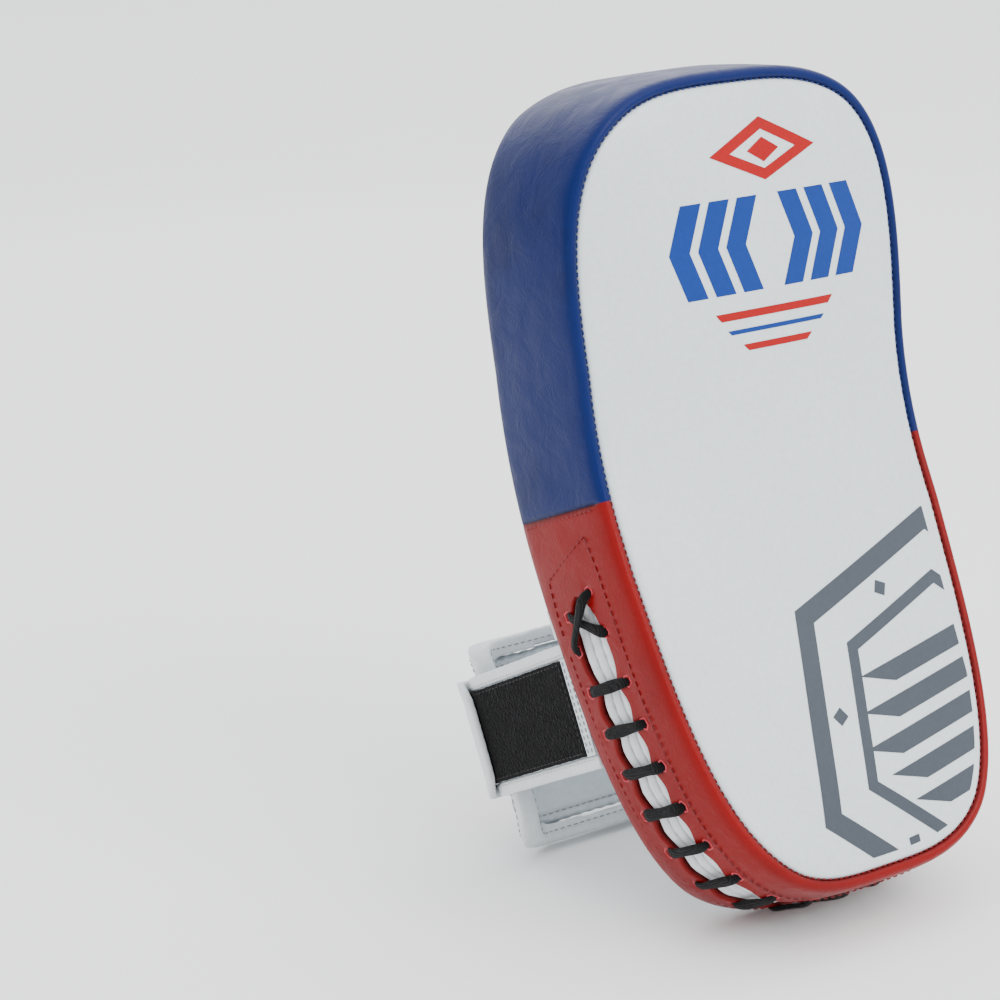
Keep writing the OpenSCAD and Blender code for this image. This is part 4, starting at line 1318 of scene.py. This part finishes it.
grip = soften(
    "grip_handle", "grip_cover", M_WHITE, body="grip", voxel=2.4, iters=2, levels=1,
    puff=(4.0, 0.6), shape=grip_shape, wrinkle=((0.35, 30), (0.2, 85)))
tree = bvh(grip)
rows = []
for off in (-2.0, 2.0):
    seg = []
    for a in np.linspace(-1, 1, 90):
        x = a * 50
        yy = 82 if abs(x) < 34 else 62 + math.sqrt(max(0, 400 - (abs(x) - 34) ** 2))
        c = Vector(grip_frame(x, yy, off))
        d = (Vector(grip_frame(x, yy + 1, off)) - c).normalized()
        hit = tree.ray_cast(c + d * 0.03, -d, 0.05)
        if hit[0] is not None:
            seg.append((hit[0], hit[1]))
    rows.append((np.array([q[0] for q in seg]), np.array([q[1] for q in seg])))
stitches("grip_stitching", rows, T_GREY, body="grip", pitch=4.0, length=2.8, r=0.32, lift=0.08)
for side, nm in ((-1, "left"), (1, "right")):
    anch = soften(
        "grip_anchor_" + nm, "grip_tab_" + nm, M_TRIM, voxel=0.6, iters=4,
        wrinkle=((0.08, 60),))
    tree = bvh(anch)
    rows = []
    for x in (65.2, 71.8):
        for za, zb in ((-20.5, -9.5), (9.5, 20.5)):
            seg = []
            for z in np.linspace(za, zb, 14):
                c = Vector(grip_frame(side * x, 45, z))
                d = (Vector(grip_frame(side * x, 46, z)) - c).normalized()
                hit = tree.ray_cast(c + d * 0.01, -d, 0.03)
                if hit[0] is not None:
                    seg.append((hit[0], hit[1]))
            if len(seg) > 4:
                rows.append((np.array([q[0] for q in seg]), np.array([q[1] for q in seg])))
    if rows:
        stitches("grip_tab_stitching_" + nm, rows, T_GREY, pitch=2.8, length=1.9, r=0.24, lift=0.06)


# plain print high on the back centre panel
BACK_TREE = bvh(bpy.data.objects["back_centre_skin"])


def back_place(x, s):
    p, q = Vector(pad(x, 75, s)), Vector(pad(x, 0, s))
    d = (q - p).normalized()
    hit = BACK_TREE.ray_cast(p, d, 0.1)
    return (hit[0] if hit[0] is not None else q) - d * 0.00014


polys = [[(0, 342), (-15, 333), (0, 324), (15, 333)]]
for i in range(3):
    for sg in (-1, 1):
        a = sg * (4 + i * 8)
        polys.append([
            (a, 300), (a + sg * 5, 300), (a + sg * 7, 309), (a + sg * 5, 318), (a, 318),
            (a + sg * 2, 309)])
polys.append([(-20, 293), (20, 293), (17, 290.5), (-17, 290.5)])
flat_print("back_print", polys, P_RED, back_place, edge=4.0)

for n, m in (
    ("strike_foam", M_FOAM), ("core_foam", M_FOAM), ("backing_foam", M_FOAM), ("rivet_cap", M_STEEL),
    ("rivet_post", M_STEEL), ("rivet_washer", M_STEEL), ("grip_rivets", M_STEEL)):
    o = NODES[n]
    o.data.materials.clear()
    o.data.materials.append(m)


# ---- floor, light, camera
def floor():
    me = bpy.data.meshes.new("floor")
    n, r = 96, 60.0
    vs = [(0, 0, 0)] + [(
        r * math.cos(2 * math.pi * i / n), r * math.sin(2 * math.pi * i / n), 0) for i in range(n)]
    me.from_pydata(vs, [], [(0, i + 1, (i + 1) % n + 1) for i in range(n)])
    o = bpy.data.objects.new("floor", me)
    bpy.context.scene.collection.objects.link(o)
    m, nt, p = new_mat("floor_paper")
    tc = node(nt, "ShaderNodeTexCoord").outputs["Object"]
    nz = node(nt, "ShaderNodeTexNoise", {"Vector": tc, "Scale": 3.0, "Detail": 3})
    nt.links.new(ramp(nt, nz.outputs[0], [(0.3, (0.90,) * 3), (0.7, (0.91,) * 3)]), p.inputs["Base Color"])
    p.inputs["Roughness"].default_value = 0.9
    p.inputs["Specular IOR Level"].default_value = 0.1
    me.materials.append(m)


floor()


def area_light(name, loc, target, size, power, color=(1, 1, 1)):
    d = bpy.data.lights.new(name, "AREA")
    d.shape, d.size, d.size_y, d.energy, d.color = "RECTANGLE", size[0], size[1], power, color
    o = bpy.data.objects.new(name, d)
    o.location = loc
    o.rotation_euler = (Vector(target) - Vector(loc)).to_track_quat("-Z", "Y").to_euler()
    bpy.context.scene.collection.objects.link(o)


area_light("key", (0.4, -1.9, 1.7), (0, 0, 0.2), (1.4, 1.4), 40, (1.0, 0.985, 0.96))
area_light("fill", (-1.9, -0.9, 1.1), (0, 0, 0.2), (1.3, 1.6), 5, (0.95, 0.98, 1.0))
area_light("top", (1.6, 2.2, 6.0), (1.6, 2.2, 0), (13, 13), 420)
area_light("back", (0.6, 1.9, 1.2), (0, 0, 0.2), (1.6, 1.2), 6)
w = bpy.data.worlds.new("studio")
bpy.context.scene.world = w
w.use_nodes = True
w.node_tree.nodes["Background"].inputs[0].default_value = (0.97, 0.985, 1.0, 1)
wt = w.node_tree
wsep = node(wt, "ShaderNodeSeparateXYZ", {0: node(wt, "ShaderNodeTexCoord").outputs["Generated"]})
wr = node(wt, "ShaderNodeMapRange", {0: wsep.outputs[0], 1: -0.9, 2: 0.25, 3: 1.05, 4: 1.9})
wt.links.new(wr.outputs[0], wt.nodes["Background"].inputs[1])

cam = bpy.data.cameras.new("camera")
cam.lens, cam.sensor_width, cam.clip_start = 93.6, 36, 0.05
co = bpy.data.objects.new("camera", cam)
bpy.context.scene.collection.objects.link(co)
AZIMUTH, PITCH, ROLL = (math.radians(v) for v in (57.1426, -15.1949, -2.9323))
look = Vector((math.cos(AZIMUTH) * math.cos(PITCH), math.sin(AZIMUTH) * math.cos(PITCH), math.sin(PITCH)))
rot = look.to_track_quat("-Z", "Y").to_matrix() @ Matrix.Rotation(ROLL, 3, "Z")
co.matrix_world = Matrix.Translation((-0.71496, -0.92546, 0.49887)) @ rot.to_4x4()
bpy.context.scene.camera = co
